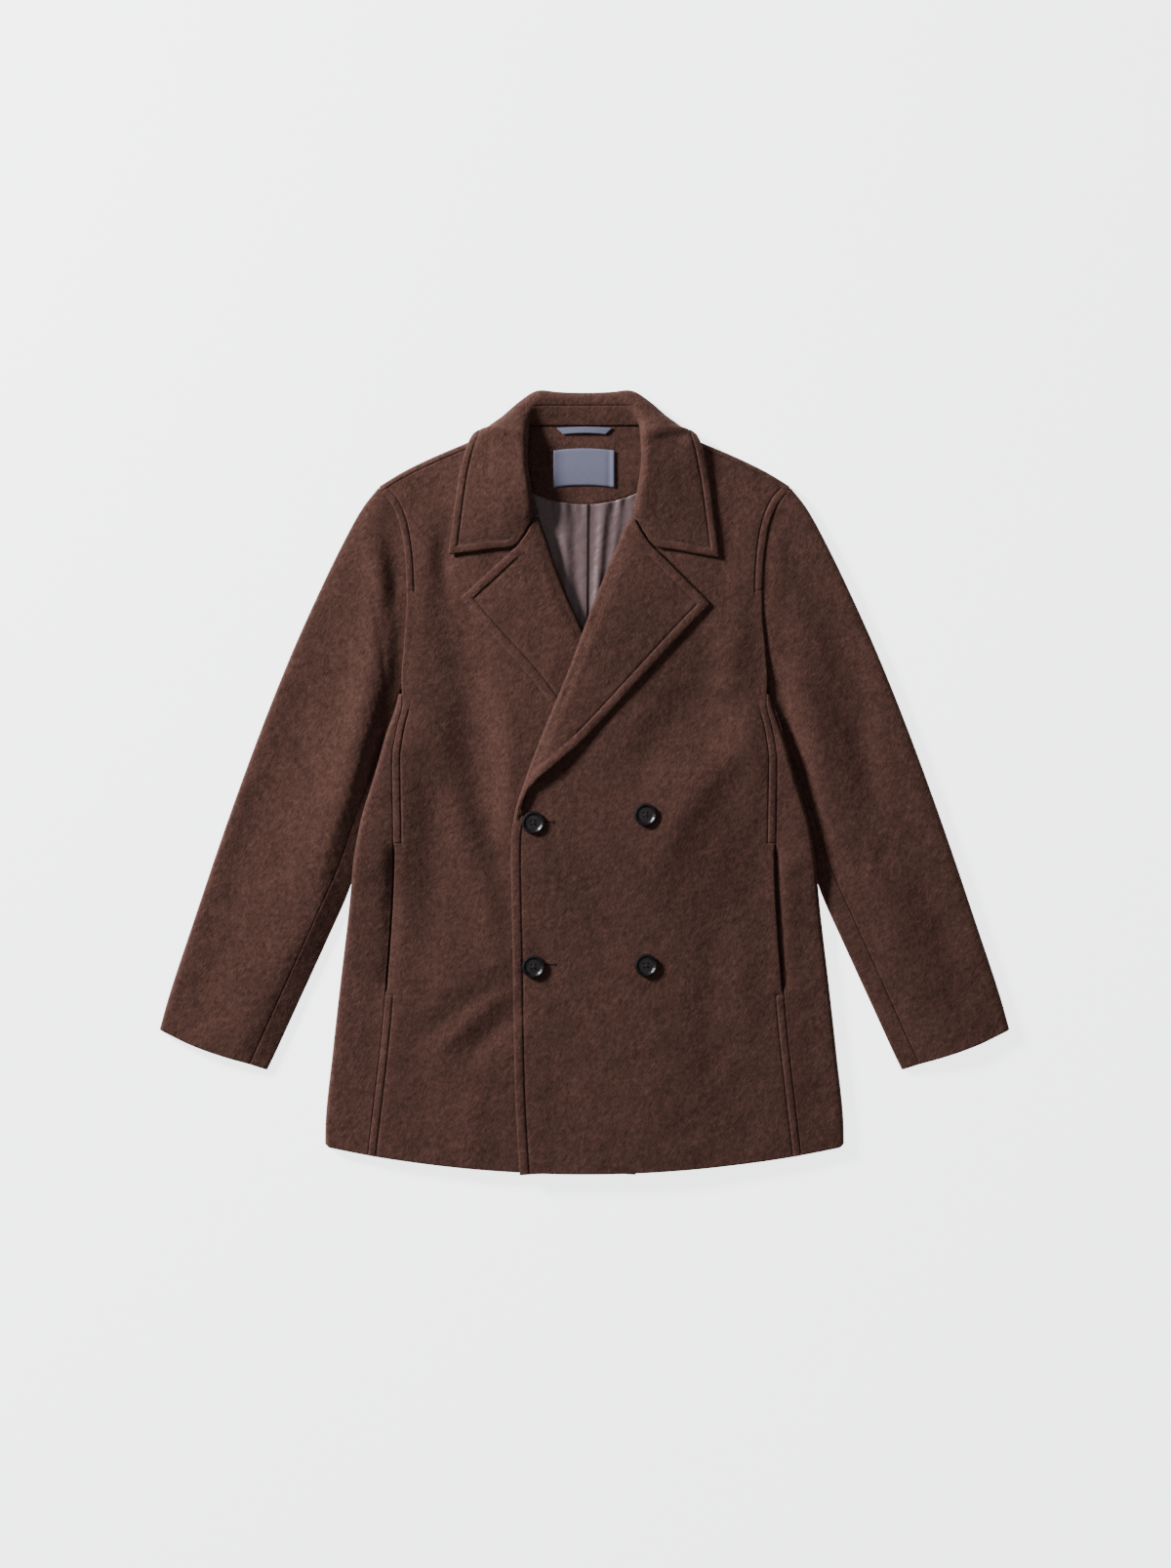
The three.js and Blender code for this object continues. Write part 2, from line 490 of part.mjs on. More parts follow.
// Half of the back, from the middle to the side seam and the armhole, and from the hem over the
// folded shoulder to the shoulder seam.
function backGrid() {
  const neckStart = 0.79; // rows are closer from here up to the neck
  const middle = (k) => point(0, mix(HEM_LOW, NECK_SEAM, k));
  const neck = (k) => point(NECK_POINT * k, NECK_SEAM);
  const inner = chain(middle, neck, BACK_NECK_SHARE);
  const sideSeam = (k) => {
    const y = mix(hemLine(BACK_SEAM_HEM), 140, k);
    return point(read(SIDE_SEAM, "y", "back", y) - SEAM / 2, y);
  };
  const armhole = curve(BACK_ARMHOLE);
  const upperArmhole = moved((k) => armhole(mix(BACK_ARMHOLE_SIDE, 1, k)), -ARMHOLE_GAP, 0);
  const outer = chain(sideSeam, upperArmhole, BACK_SEAM_SHARE);
  const shoulder = (u) => {
    const x = mix(NECK_POINT, outer(1).x, u);
    return point(x, shoulderLine(x) - FOLD_RADIUS);
  };
  const hem = (u) => point(outer(0).x * u, hemLine(outer(0).x * u));
  const plan = patch({ left: inner, right: outer, bottom: hem, top: shoulder });
  const columns = evenly(8);
  const toNeck = [...evenly(10, 0, BACK_SEAM_SHARE), ...evenly(2, BACK_SEAM_SHARE, neckStart).slice(1),
    ...evenly(7, neckStart, BACK_NECK_SHARE).slice(1)];
  const pastNeck = evenly(4, BACK_NECK_SHARE, 1).slice(1);
  const flat = [...toNeck, ...pastNeck].map((v) => columns.map((u) => {
    const p = plan(u, v);
    return new Spot(p.x, p.y, backHeight(p.x, p.y), point(0, 0, 1));
  }));
  const folded = evenly(4).slice(1).map((k) => columns.map((u) => {
    const p = plan(u, 1);
    const [out, up] = [Math.sin(Math.PI * k), Math.cos(Math.PI * k)];
    const away = SHOULDER_SQUARE.clone().multiplyScalar(FOLD_RADIUS * out);
    const z = backHeight(p.x, p.y) + FOLD_RADIUS * (1 - up);
    const inward = SHOULDER_SQUARE.clone().multiplyScalar(-out).setZ(up);
    return new Spot(p.x + away.x, p.y + away.y, z, inward);
  }));
  const seam = columns.map((u) => {
    const p = plan(u, 1);
    return new Spot(p.x, shoulderSeam(p.x) + SEAM / 2, backHeight(p.x, p.y) + FOLD);
  });
  return { rows: [...flat, ...folded, seam], joined: toNeck.length - 1 };
}

// The whole sleeve as rings. Each ring runs from the back sleeve seam round the outer fold, over the
// upper face and round the inner fold, and back to that seam under the sleeve.
function sleeveRings() {
  const outer = curve(SLEEVE_OUTER);
  const inner = curve(SLEEVE_INNER);
  const front = curve([...ARMHOLE].reverse());
  const back = curve([...BACK_ARMHOLE].reverse());
  const cuff = curve(CUFF);
  const tip = outer(0);
  const underarm = inner(0);
  const drawn = (line, k) => line(k)
    .addScaledVector(tip.clone().sub(line(0)), (1 - k) ** TIP_HOLD)
    .addScaledVector(underarm.clone().sub(line(1)), k ** UNDERARM_HOLD);
  const upperPlan = patch({ left: outer, right: inner, bottom: (u) => drawn(front, u), top: cuff });
  const underPlan = patch({ left: outer, right: inner, bottom: (u) => drawn(back, u), top: cuff });
  const share = (line, s) => mix(line.armhole, line.cuff, ease(s / 0.4));
  const widthways = (u) => ease(u / 0.45) * ease((1 - u) / 0.4);
  const foldHeight = (u) => mix(FOLD, INNER_FOLD, u);
  const upperHeight = (u, s) => {
    const armhole = 1.6 * ease(1 - s / 0.12) * (1 - ease((u - 0.55) / 0.3));
    const folds = SLEEVE_FOLDS.reduce((sum, fold) => {
      const a = (s - fold.down) / fold.along;
      const b = (u - fold.share) / fold.across;
      return sum + fold.height * Math.exp(-a * a - b * b);
    }, 0);
    const flat = ease(u / 0.2) * ease((1 - u) / 0.12) * ease(s / 0.06);
    const crown = SLEEVE_CROWN * mix(0.55, 1, ease(s / 0.25)) - armhole;
    return foldHeight(u) + widthways(u) * crown + folds * flat;
  };
  const fold = (atOuter, s, k) => {
    const u = atOuter ? 0 : 1;
    const edge = upperPlan(u, s);
    const radius = foldHeight(u) / 2;
    const inwards = upperPlan(atOuter ? 0.12 : 0.88, s).sub(edge).setZ(0).normalize();
    const [out, up] = [Math.sin(Math.PI * k), Math.cos(Math.PI * k)];
    const p = edge.addScaledVector(inwards, radius * (1 - out));
    return new Spot(p.x, p.y, radius * (1 + up), inwards.multiplyScalar(out).setZ(-up));
  };
  return evenly(SLEEVE_ROWS).map((s) => {
    const upper = SLEEVE_LINES.map((line, n) => {
      if (n === 0) return fold(true, s, 0);
      if (n === SLEEVE_LINES.length - 1) return fold(false, s, 0);
      const u = share(line, s);
      const p = upperPlan(u, s);
      return new Spot(p.x, p.y, upperHeight(u, s));
    });
    const under = SLEEVE_LINES.map((line, n) => {
      if (n === 0) return fold(true, s, 1);
      if (n === SLEEVE_LINES.length - 1) return fold(false, s, 1);
      const p = underPlan(share(line, s), s);
      return new Spot(p.x, p.y, 0, point(0, 0, 1));
    });
    const outerFold = [0.75, 0.5, 0.25].map((k) => fold(true, s, k));
    const innerFold = [0.25, 0.5, 0.75].map((k) => fold(false, s, k));
    return { upper, under, outerFold, innerFold };
  });
}

// Moves an end of each row a little along the row, which parts it from the piece it is sewn to.
function trimmed(rows, start, end) {
  return rows.map((row) => {
    const pulled = (p, q, by) => {
      const r = p.clone().lerp(q, by / p.distanceTo(q));
      return new Spot(r.x, r.y, r.z, p.inward);
    };
    const n = row.length - 1;
    return [pulled(row[0], row[1], start), ...row.slice(1, n), pulled(row[n], row[n - 1], end)];
  });
}

function topSleeveGrid(rings) {
  const rows = rings.map(({ upper, under, outerFold }) => [
    ...under.slice(0, HINDARM_LINE + 1).reverse(),
    ...outerFold,
    ...upper.slice(0, FOREARM_LINE + 1),
  ]);
  return trimmed(rows, SEAM / 2, SEAM / 2);
}

function underSleeveGrid(rings) {
  const rows = rings.map(({ upper, under, innerFold }) => [
    ...upper.slice(FOREARM_LINE),
    ...innerFold,
    ...under.slice(HINDARM_LINE).reverse(),
  ]);
  return trimmed(rows, SEAM / 2, SEAM / 2);
}

// How far a lapel's or the collar's face is above its front, at a share of the way to its free edge.
const standOff = (share) => ON_FRONT + LEAF_LIFT * ease((share - 0.35) / 0.65);

// A lapel, which is the facing: from its free edge over the roll line and in under the front.
function lapelGrid(shape, height, side) {
  const roll = curve(shape.roll);
  const square = (k) => {
    const d = roll(Math.min(1, k + 0.02)).sub(roll(Math.max(0, k - 0.02))).normalize();
    return point(d.y, -d.x);
  };
  const at = (v) => mix(LAPEL_START, LAPEL_END, v);
  const inset = (v) => roll(at(v)).addScaledVector(square(at(v)), ROLL);
  const free = curve(shape.free);
  const [notchX, notchY] = shape.notch;
  const [gorgeX, gorgeY] = GORGE;
  const { x: startX, y: startY } = inset(1);
  const gorge = curve([[startX, startY], [gorgeX, gorgeY - SEAM], [notchX - SEAM, notchY - 2 * SEAM]]);
  const top = chain(gorge, curve([shape.notch, shape.tip]), GORGE_SHARE);
  const bottom = (u) => inset(0).lerp(free(0), u);
  const plan = patch({ left: inset, right: free, bottom, top });
  const leaf = (u, v) => {
    const p = plan(u, v);
    const x = side * p.x;
    return point(x, p.y, height(x, p.y) + standOff(u * ease((v - shape.shows) / 0.35)));
  };
  const turned = (k, v) => {
    const apex = roll(at(v));
    const n = square(at(v));
    const p = apex.addScaledVector(n, ROLL * (1 - Math.sin(Math.PI * k)));
    const face = leaf(0, v).z;
    return point(side * p.x, p.y, face - ROLL * (1 - Math.cos(Math.PI * k)));
  };
  const tail = (v) => {
    const p = roll(at(v)).addScaledVector(square(at(v)), ROLL + LAPEL_INSIDE);
    return point(side * p.x, p.y, leaf(0, v).z - 2 * ROLL);
  };
  return evenly(15).map((v) => [
    ...[1, 0.8, 0.6, 0.42, 0.26, 0.12, 0].map((u) => leaf(u, v)),
    ...evenly(4).slice(1).map((k) => turned(k, v)),
    tail(v),
  ]);
}

// The collar in one piece, through its sections, from one tip round the neck to the other.
function collarGrid() {
  const half = COLLAR.map((section, n) => COLLAR_COLUMNS.map((column, i) => {
    const [x, y, z] = section[column];
    const share = i / (COLLAR_COLUMNS.length - 1);
    const settled = n > 7 ? 1 : 0.4;
    return point(x, y, z ?? frontHeight(x, y) + standOff(share * settled));
  }));
  const whole = [...half.slice(1).reverse().map((row) => row.map((p) => point(-p.x, p.y, p.z))), ...half];
  const lines = COLLAR_COLUMNS.map((_, i) =>
    new THREE.CatmullRomCurve3(whole.map((row) => row[i]), false, "centripetal"));
  const steps = (whole.length - 1) * COLLAR_STEPS;
  return evenly(steps).map((k) => {
    const section = new THREE.CatmullRomCurve3(lines.map((line) => line.getPoint(k)), false, "centripetal");
    return [0, 1, 1.5, 2, 2.5, 3, 3.5, 4, 4.5, 5, 6, 7].map((c) => section.getPoint(c / 7));
  });
}

// What shows in the neck: the back facing, the lining under it with its middle pleat, the label and
// the hanger loop.
const onBack = (x, y) => neckLift(x, y) + CLOTH + BED;
const facingHeight = (x, y) => onBack(x, y) + CLOTH;
const facingLow = (x) => FACING.low + FACING.arch * (x / FACING.half) ** 2;

function facingGrid() {
  return evenly(5).map((v) => evenly(8, -FACING.half, FACING.half).map((x) => {
    const y = mix(facingLow(x), NECK_SEAM, v);
    return new Spot(x, y, facingHeight(x, y));
  }));
}

function liningGrid() {
  const across = [-78, -58, -40, -22, -8, 1.5, 4, 6, 22, 40, 58, 78]; // closer at the pleat
  const pleat = (x) => (x > 1 && x < 5 ? 1.7 : 0.9 * ease(1 - Math.abs(x - 1.5) / 34));
  return evenly(8).map((v) => across.map((x) => {
    const y = mix(LINING_LOW, facingLow(x) - SEAM, v);
    const wave = 0.9 * Math.sin(x / 7.5 + y / 160) * ease((70 - Math.abs(x)) / 30);
    return new Spot(x * mix(LINING_NARROWS, 1, v), y, onBack(x, y) + LINING + pleat(x) + Math.abs(wave));
  }));
}

function labelGrid() {
  const { x: middle, y: centre, width, height, arch } = LABEL;
  return evenly(4, -height / 2, height / 2).map((y) => evenly(6, -width / 2, width / 2).map((x) => {
    const arched = centre + y - arch * ((2 * x) / width) ** 2;
    return new Spot(middle + x, arched, facingHeight(x, arched) + BED + SATIN);
  }));
}

function loopGrid() {
  return evenly(3).map((v) => evenly(8, -1, 1).map((k) => {
    const middle = 1 - k * k;
    const x = k * mix(LOOP.lowHalf, LOOP.highHalf, v);
    const y = mix(LOOP.low, LOOP.high, v) + LOOP.arch * middle;
    return new Spot(x, y, facingHeight(x, y) + BED + SATIN * 2 + LOOP.slack * middle);
  }));
}

// The strip of cloth behind a pocket's mouth.
function pocketGrid(side) {
  const { past, depth, across } = POCKET_STRIP;
  return evenly(7, POCKET.low - past, POCKET.high + past).map((y) => across.map((offset) => {
    const x = read(SIDE_SEAM, "y", "front", y) + offset;
    return new Spot(side * x, y, frontHeight(side * x, y) - CLOTH - depth);
  }));
}

// A four-hole button with a raised rim.
function buttonGeometry() {
  const half = BUTTON_HEIGHT / 2;
  const profile = [[0, -half], [BUTTON_BACK, -half], [BUTTON_RADIUS, -0.4], [BUTTON_RADIUS - 0.7, half - 0.5],
    [BUTTON_RADIUS - 2.2, half], [BUTTON_RADIUS - 4.6, half - 1.5], [0, half - 1.2]];
  const lathe = new THREE.LatheGeometry(profile.map(([r, y]) => new THREE.Vector2(r, y)), 20);
  lathe.rotateX(Math.PI / 2);
  const holes = [[1, 1], [1, -1], [-1, 1], [-1, -1]].map(([x, y]) => {
    const hole = new THREE.CylinderGeometry(1.1, 1.1, BUTTON_HEIGHT * 2, 5);
    return hole.rotateX(Math.PI / 2).translate(x * 2.2, y * 2.2, 0);
  });
  return geometryOf(holes.reduce((left, hole) => left.subtract(solidOf(hole)), solidOf(lathe)));
}

function geometryOf(solid) {
  const mesh = solid.getMesh();
  const geometry = new THREE.BufferGeometry();
  geometry.setAttribute("position", new THREE.Float32BufferAttribute(mesh.vertProperties, 3));
  geometry.setIndex(Array.from(mesh.triVerts));
  geometry.computeVertexNormals();
  return geometry;
}

// The same geometry with its shared vertices merged.
function welded(geometry) {
  const bare = geometry.clone();
  bare.deleteAttribute("normal");
  bare.deleteAttribute("uv");
  const merged = mergeVertices(bare, 1e-4);
  merged.computeVertexNormals();
  return merged;
}

function solidOf(geometry) {
  const merged = welded(geometry);
  return new wasm.Manifold(new wasm.Mesh({
    numProp: 3,
    vertProperties: merged.getAttribute("position").array,
    triVerts: new Uint32Array(merged.getIndex().array),
  }));
}

// The fronts, the lapels and the collar
const frontLeft = add("front_left", wall(frontGrid(FRONT.left, leftFrontHeight, 1), CLOTH), WOOL);
add("front_right", wall(frontGrid(FRONT.right, frontHeight, -1), CLOTH), WOOL);
add("lapel_left", wall(lapelGrid(FRONT.left, leftFrontHeight, 1), LEAF), WOOL);
add("lapel_right", wall(lapelGrid(FRONT.right, frontHeight, -1).map((row) => row.reverse()), LEAF), WOOL);
add("collar", wall(collarGrid(), LEAF), WOOL);
const half = backGrid();
const backHalves = [1, -1].map((side) => wall(mirrored(half.rows, side), CLOTH, half.joined));
add("back", welded(mergeGeometries(backHalves)), WOOL);

// What comes in pairs
const rings = sleeveRings();
for (const [name, side] of [["left", 1], ["right", -1]]) {
  add(`side_panel_${name}`, wall(mirrored(sidePanelGrid(), side), CLOTH), WOOL);
  add(`top_sleeve_${name}`, wall(mirrored(topSleeveGrid(rings), side), CLOTH), WOOL);
  add(`under_sleeve_${name}`, wall(mirrored(underSleeveGrid(rings), side), CLOTH), WOOL);
  add(`pocket_facing_${name}`, wall(pocketGrid(side), POCKET_STRIP.thickness), WOOL);
}

// What shows in the neck
add("back_facing", wall(facingGrid(), CLOTH), WOOL);
add("lining", wall(liningGrid(), LINING), LINING_CLOTH);
add("label", wall(labelGrid(), SATIN), SATIN_CLOTH);
add("hanger_loop", wall(loopGrid(), SATIN * 2), SATIN_CLOTH);

// The buttons, each lying on the left front
const above = new THREE.Raycaster();
for (const { name, x, y } of BUTTONS) {
  const cloth = (dx, dy) => {
    above.set(point(x + dx, y + dy, 100), point(0, 0, -1));
    return above.intersectObject(frontLeft)[0].point.z;
  };
  const slopeX = (cloth(BUTTON_BACK, 0) - cloth(-BUTTON_BACK, 0)) / (2 * BUTTON_BACK);
  const slopeY = (cloth(0, BUTTON_BACK) - cloth(0, -BUTTON_BACK)) / (2 * BUTTON_BACK);
  const proud = evenly(12, 0, 2 * Math.PI).map((angle) => {
    const [dx, dy] = [BUTTON_BACK * Math.cos(angle), BUTTON_BACK * Math.sin(angle)];
    return cloth(dx, dy) - slopeX * dx - slopeY * dy;
  });
  const button = add(name, buttonGeometry(), HORN);
  button.position.set(x, y, Math.max(cloth(0, 0), ...proud) + BUTTON_HEIGHT / 2 + SEAM);
  button.quaternion.setFromUnitVectors(point(0, 0, 1), point(-slopeX, -slopeY, 1).normalize());
}

export default coat;
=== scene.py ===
import math
from collections import namedtuple

import bmesh
import bpy
import numpy as np
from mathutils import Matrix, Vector


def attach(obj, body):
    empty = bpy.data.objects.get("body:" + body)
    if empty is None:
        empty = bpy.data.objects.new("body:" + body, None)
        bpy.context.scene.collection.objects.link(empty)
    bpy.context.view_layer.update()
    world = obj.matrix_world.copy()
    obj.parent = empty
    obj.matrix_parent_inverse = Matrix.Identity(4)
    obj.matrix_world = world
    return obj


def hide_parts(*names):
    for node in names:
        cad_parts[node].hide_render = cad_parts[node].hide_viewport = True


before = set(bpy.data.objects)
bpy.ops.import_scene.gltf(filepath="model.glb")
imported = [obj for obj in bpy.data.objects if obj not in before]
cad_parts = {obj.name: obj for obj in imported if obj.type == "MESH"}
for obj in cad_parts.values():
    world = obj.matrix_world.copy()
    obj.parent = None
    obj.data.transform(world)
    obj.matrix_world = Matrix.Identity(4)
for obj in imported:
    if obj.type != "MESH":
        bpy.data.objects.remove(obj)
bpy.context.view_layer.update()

# Sizes in millimetres
MM = 0.001
CLOTH = 2.2  # one layer of wool
LEAF = 2.6  # the lapels and the collar, which have canvas inside
LINING = 1.0
SATIN = 0.8
POCKET_CLOTH = 1.4
SEAM = 0.08  # what parts two pieces that are sewn together
BED = 0.3  # what parts a piece from the one that it lies on
ROOM = 1.2  # under a lapel or the collar
INNER_ROOM = 0.9  # under a front, over the lapel cloth folded in there
FOLD = 9.6  # height of the folded sides and shoulders
MIDDLE = 12.8  # height of the fronts over the middle of the body
INNER_FOLD = 5.6  # height of a sleeve's inner fold
SLEEVE_CROWN = 3.6
ON_SLEEVE = 8.8  # how far the body's side is raised where it lies on a sleeve
HEM_LOW = -429.9
HEM_RISE = 29.0
HALF_HEM = 282.0
SIDE_SEAM_HEM = 238.0
BACK_SEAM_HEM = 216.0
HEM_CORNER = 3.5
SIDE_TOP = 88.0  # where the side seam meets the armhole
SIDE_UNDER = 9.0  # how far the side panel runs on under the sleeve
BACK_SIDE_TOP = 140.0
NECK_SEAM = 389.9
NECK_POINT = 80.0
SHOULDER_SEAM = 1.8  # from the shoulder's fold down to its seam
SHOULDER_SQUARE = np.array([0.415, 0.91, 0.0])
FOLD_RADIUS = FOLD / 2
ROLL = (ROOM + LEAF + CLOTH + INNER_ROOM + LEAF) / 2
ROLL_CLEAR = 1.5  # from a lapel's roll to the edge of the front inside it
ROLL_DROP, ROLL_WIDTH = 1.6, 13.0  # the soft slope of a lapel towards its roll
ON_FRONT = ROOM + LEAF
OVERLAP = CLOTH + ROOM  # how far the left front is raised by the right one
UNDER_LAPEL = ON_FRONT + INNER_ROOM + LEAF + INNER_ROOM - ROOM  # more, over the right lapel
NECK_LIFT = LEAF + 0.4  # how far the back of the neck is raised by the collar under it
LAPEL_INSIDE = 7.0
LEAF_LIFT, LEAF_LIFTS = -0.9, (0.35, 1.0)  # the free edges are this much lower than the rest
BREAK_LIFT = 3.2  # and the lapels' edges higher over the top button
CORNER_RADIUS = 3.2  # of the points of the collar and the lapels
BUTTONS = [(-56, -44.1), (66.8, -35.5), (-55.9, -202), (67.6, -200.5)]
BUTTON_HOLD = 17
BUTTON_DISH = 1.1  # depth of a button's face under its rim
THREAD_TURNS, THREAD_REACH = (0.4, 1.97), 2.6
EDGE_BAND = 10.7  # from an edge to its stitches
BAND = 9.0  # from a seam to its stitches
COLLAR_BAND = 9.3
BODY_ROUND, LEAF_ROUND = 1.6, 1.7  # how far in from an edge it is rounded over
EDGE_SHARE = 0.46  # how far a rounded edge goes in, as a share of the wall
GROOVE_WIDTH, PUFF_FORM = 0.95, 0.75
OUT_OF_REACH = 200.0
FACING_LOW, FACING_HALF = 305.4, 74
LINING_LOW, LINING_HALF = 96, 78
DOWN, UP = np.array([0, 0, -1.0]), np.array([0, 0, 1.0])

# Where a height or a band fades in or out: from, to
NECK_RISES, NECK_ENDS = (300, 348), (152, 116)
FREE_OF_SIDE, FREE_OF_SHOULDER = (4, 44), (8, 48)
SIDE_RISES, CHEST_RISES, HEM_RISES = (0, 90), (0, 85), (0, 180)
HEM_FULL = 0.6
SLEEVE_UNDER = (15, 65)
OVERLAP_FADES, OVERLAP_ENDS = (0, 150), (200, 280)
LAPEL_UNDER_STARTS, LAPEL_UNDER_ENDS = (-190, -40), (180, 250)
EDGE_BAND_ENDS, SEAM_BAND_ENDS = (-50, -36), (70, 90)


def table(columns, rows):
    """Columns of numbers by their names."""
    return dict(zip(columns.split(), np.array(rows, float).T))


def crease(width, height, *path):
    """A soft trough or ridge along a short curve in the plan of the coat."""
    return {"path": path, "width": width, "height": height}


BODY_EDGE = table("y x raised proud", [
    (-430, 285, 0, 0), (-383, 284.6, 0, 0), (-298, 276.6, 0, 0), (-212, 267, 0, 0), (-175, 262.6, 0, 0),
    (-140, 258.5, 0.25, 0), (-110, 255.5, 0.65, 0), (-84, 253, 1, 0), (-41, 245, 1, 0), (2, 232, 1, 0),
    (25, 225.3, 1, 0), (50, 218.3, 0.7, 0), (88, 206, 0.25, 0), (105, 203, 0.1, 1), (146, 198.5, 0, 1.6),
    (184, 195.3, 0, 2), (215, 195.3, 0, 2), (252, 197.7, 0, 1.8), (284, 203.8, 0, 1.2), (306, 213.7, 0, 0.6),
    (323, 226.8, 0, 0),
])
SHOULDER = table("x y", [(80, 390), (105, 382), (125, 373.7), (162, 358.2), (197.4, 341), (226.8, 323)])
SIDE_SEAM = table("y front back", [
    (-430, 240, 216), (-408, 237.5, 215), (-233.5, 218.8, 203), (-66.6, 209.7, 193), (23, 210.8, 188),
    (55, 206.5, 187), (88, 199.5, 187.5), (140, 199.5, 190.5),
])
POCKET_LOW, POCKET_HIGH = -233.5, -66.6
POCKET_MOUTH, MOUTH_FADE = 2.0, 6  # how far it gapes, and over what length it closes
POCKET_DIP, DIP_WIDTH, DIP_FADE = 3.2, 6, 14
ARMHOLE = [(199.6, 88), (200.8, 110), (198.5, 146), (195.3, 184), (195.3, 215), (197.7, 252), (203.8, 284),
           (213.7, 306), (223.6, 316.9)]
BACK_ARMHOLE = [(203.5, 90), (197, 103), (192, 122), (190.5, 140), (191.5, 183), (195, 235), (204, 285),
                (214.5, 307), (223.6, 316.9)]
BACK_ARMHOLE_SIDE = 0.2  # the side panel's share of it
FRONT_EDGE_SHARE, FRONT_SEAM_SHARE = 0.44, 0.67  # below the roll line and below the armhole
BACK_NECK_SHARE, BACK_ARM_SHARE = 0.9, 0.72

FRONT = {
    "left": {
        "edge": [(-71, -430.6), (-76, -340), (-78.5, -200), (-80.3, -64), (-78.6, -44)],
        "roll": [(-76.5, -33), (-66, 0), (-49.5, 44.7), (-17, 124), (4.6, 182.7), (26.4, 237.3), (39.6, 268),
                 (50.5, 291.3)],
        "free": [(-70, -31), (-59.7, -6), (-31, 20), (-2.5, 44.7), (59.2, 110.6), (102.7, 158),
                 (138.2, 195.4)],
        "notch": (75.5, 257.6), "tip": (138.2, 195.4), "shows": 0.09, "tail": [(-78.7, -52), (-72.8, -51)],
    },
    "right": {
        "edge": [(-56, -430.4), (-62, -340), (-68, -200), (-75.5, -64), (-77, -44)],
        "roll": [(-76.5, -33), (-60, 10), (-30, 86), (2.1, 167.4), (17.2, 200.2), (30.4, 233), (39.2, 259),
                 (50.5, 291.3)],
        "free": [(-70, -31), (-45, -6), (0, 42), (36.4, 85.3), (61, 117.4), (102.5, 163.2), (136, 202.2)],
        "notch": (75.5, 257.6), "tip": (136, 202.2), "shows": 0.5, "tail": [],
    },
}
NECKLINE = [(61.6, 293.8), (68.5, 325), (71.5, 352), (77, 376), (84.5, 384.3)]
SLEEVE_OUTER = [(226.8, 322.6), (243.4, 301.5), (267, 258.7), (307.6, 173), (334.9, 108.9), (368, 23.3),
                (398.6, -62.3), (427.5, -147.9), (455.8, -233.5), (466.5, -271.5)]
SLEEVE_INNER = [(206, 89), (218, 50), (226.5, 2), (236.5, -41), (247.5, -84), (259.5, -121), (280.9, -169.3),
                (310.3, -233.5), (339.7, -297.7), (348.5, -315.8)]
CUFF = [(466.5, -271.5), (432.3, -288.2), (397, -301), (366, -310), (348.5, -315.8)]
SLEEVE_LINES = table("n armhole cuff", [
    (0, 0.022, 0.044), (1, 0.13, 0.14), (2, 0.27, 0.28), (3, 0.42, 0.42), (4, 0.57, 0.56), (5, 0.7, 0.7),
    (6, 0.82, 0.78), (7, 0.93, 0.84), (8, 0.978, 0.964),
])
FOREARM_LINE = 7  # the seam on the upper face
HINDARM_LINE = 2  # and on the under face
TIP_HOLD, UNDERARM_HOLD = 40, 30  # how closely the sleeve keeps to the ends of the armhole
SLEEVE_GIRTH = 130
TUCK_OUT, TUCK_DOWN, TUCK_SLANT = 3.6, 2.5, -0.8  # the sleeve's top, tucked in under the body
TUCK_TURNS = (1.57, 1.1, 0.6)
# Where the sleeve's forms fade, as shares of its length and of its width
SINK_ALONG, SINK_ACROSS = (0.12, 0), (0.85, 0.55)
FOLDS_OUTER, FOLDS_INNER, FOLDS_BEGIN = (0, 0.2), (1, 0.88), (0, 0.06)
CROWN_OUTER, CROWN_INNER, CROWN_RISES, CROWN_AT_TOP = (0, 0.45), (1, 0.6), (0, 0.25), 0.55
LINES_MEET = (0, 0.4)

# The lapels: shares of the roll's length, and where the leaf lifts off
GORGE, GORGE_SHARE, NOTCH_GAP = (63, 273.6), 0.36, (0.4, 0.6)
LAPEL_START, LAPEL_END, LAPEL_WIDE = 0.012, 0.999, 45
LEAF_SHOWS, FLAT_AT_BREAK, LEAF_RISES = 0.35, 0.06, (0, 0.13)
BREAK_RISES, BREAK_ENDS, DROP_BEGINS = (0.09, 0.19), (0.24, 0.49), (0.06, 0.26)

# The collar, by half sections from the middle of the back to the notch. A section runs from the neck
# seam up the stand, over the crest and down to the edge. A point with no height lies on the front.
COLLAR_DOME, RIGHT_DOME = 5.0, 3.0
DOME_ACROSS = np.array([0, 0.5, 1, 0.8, 0.45, 0.2, 0.06, 0])
DOME_ALONG = np.array([0, 0, 0, 0, 0, 0.26, 0.74, 1, 1, 1, 0.6, 0])
LEAF_WIDER, RIGHT_WIDER = 3.5, 1.6
WIDER_SHARES = np.array([0.4, 0.75, 1])
LEFT_POINT, RIGHT_POINT = 5.0, 1.5  # how much longer the points are
POINT_SHARES = np.array([0.34, 0.68, 1])
LEAF_SECTION, OUTER_COLUMN = 8, 5  # where the leaf begins, and its outer strip
STILL_TURNING = 0.4
STAND_LINE, STAND_GROOVE, STAND_ENDS = 22.0, 0.8, (46, 60)  # the stitches across the stand
COLLAR_NOTCH = (77, 259)
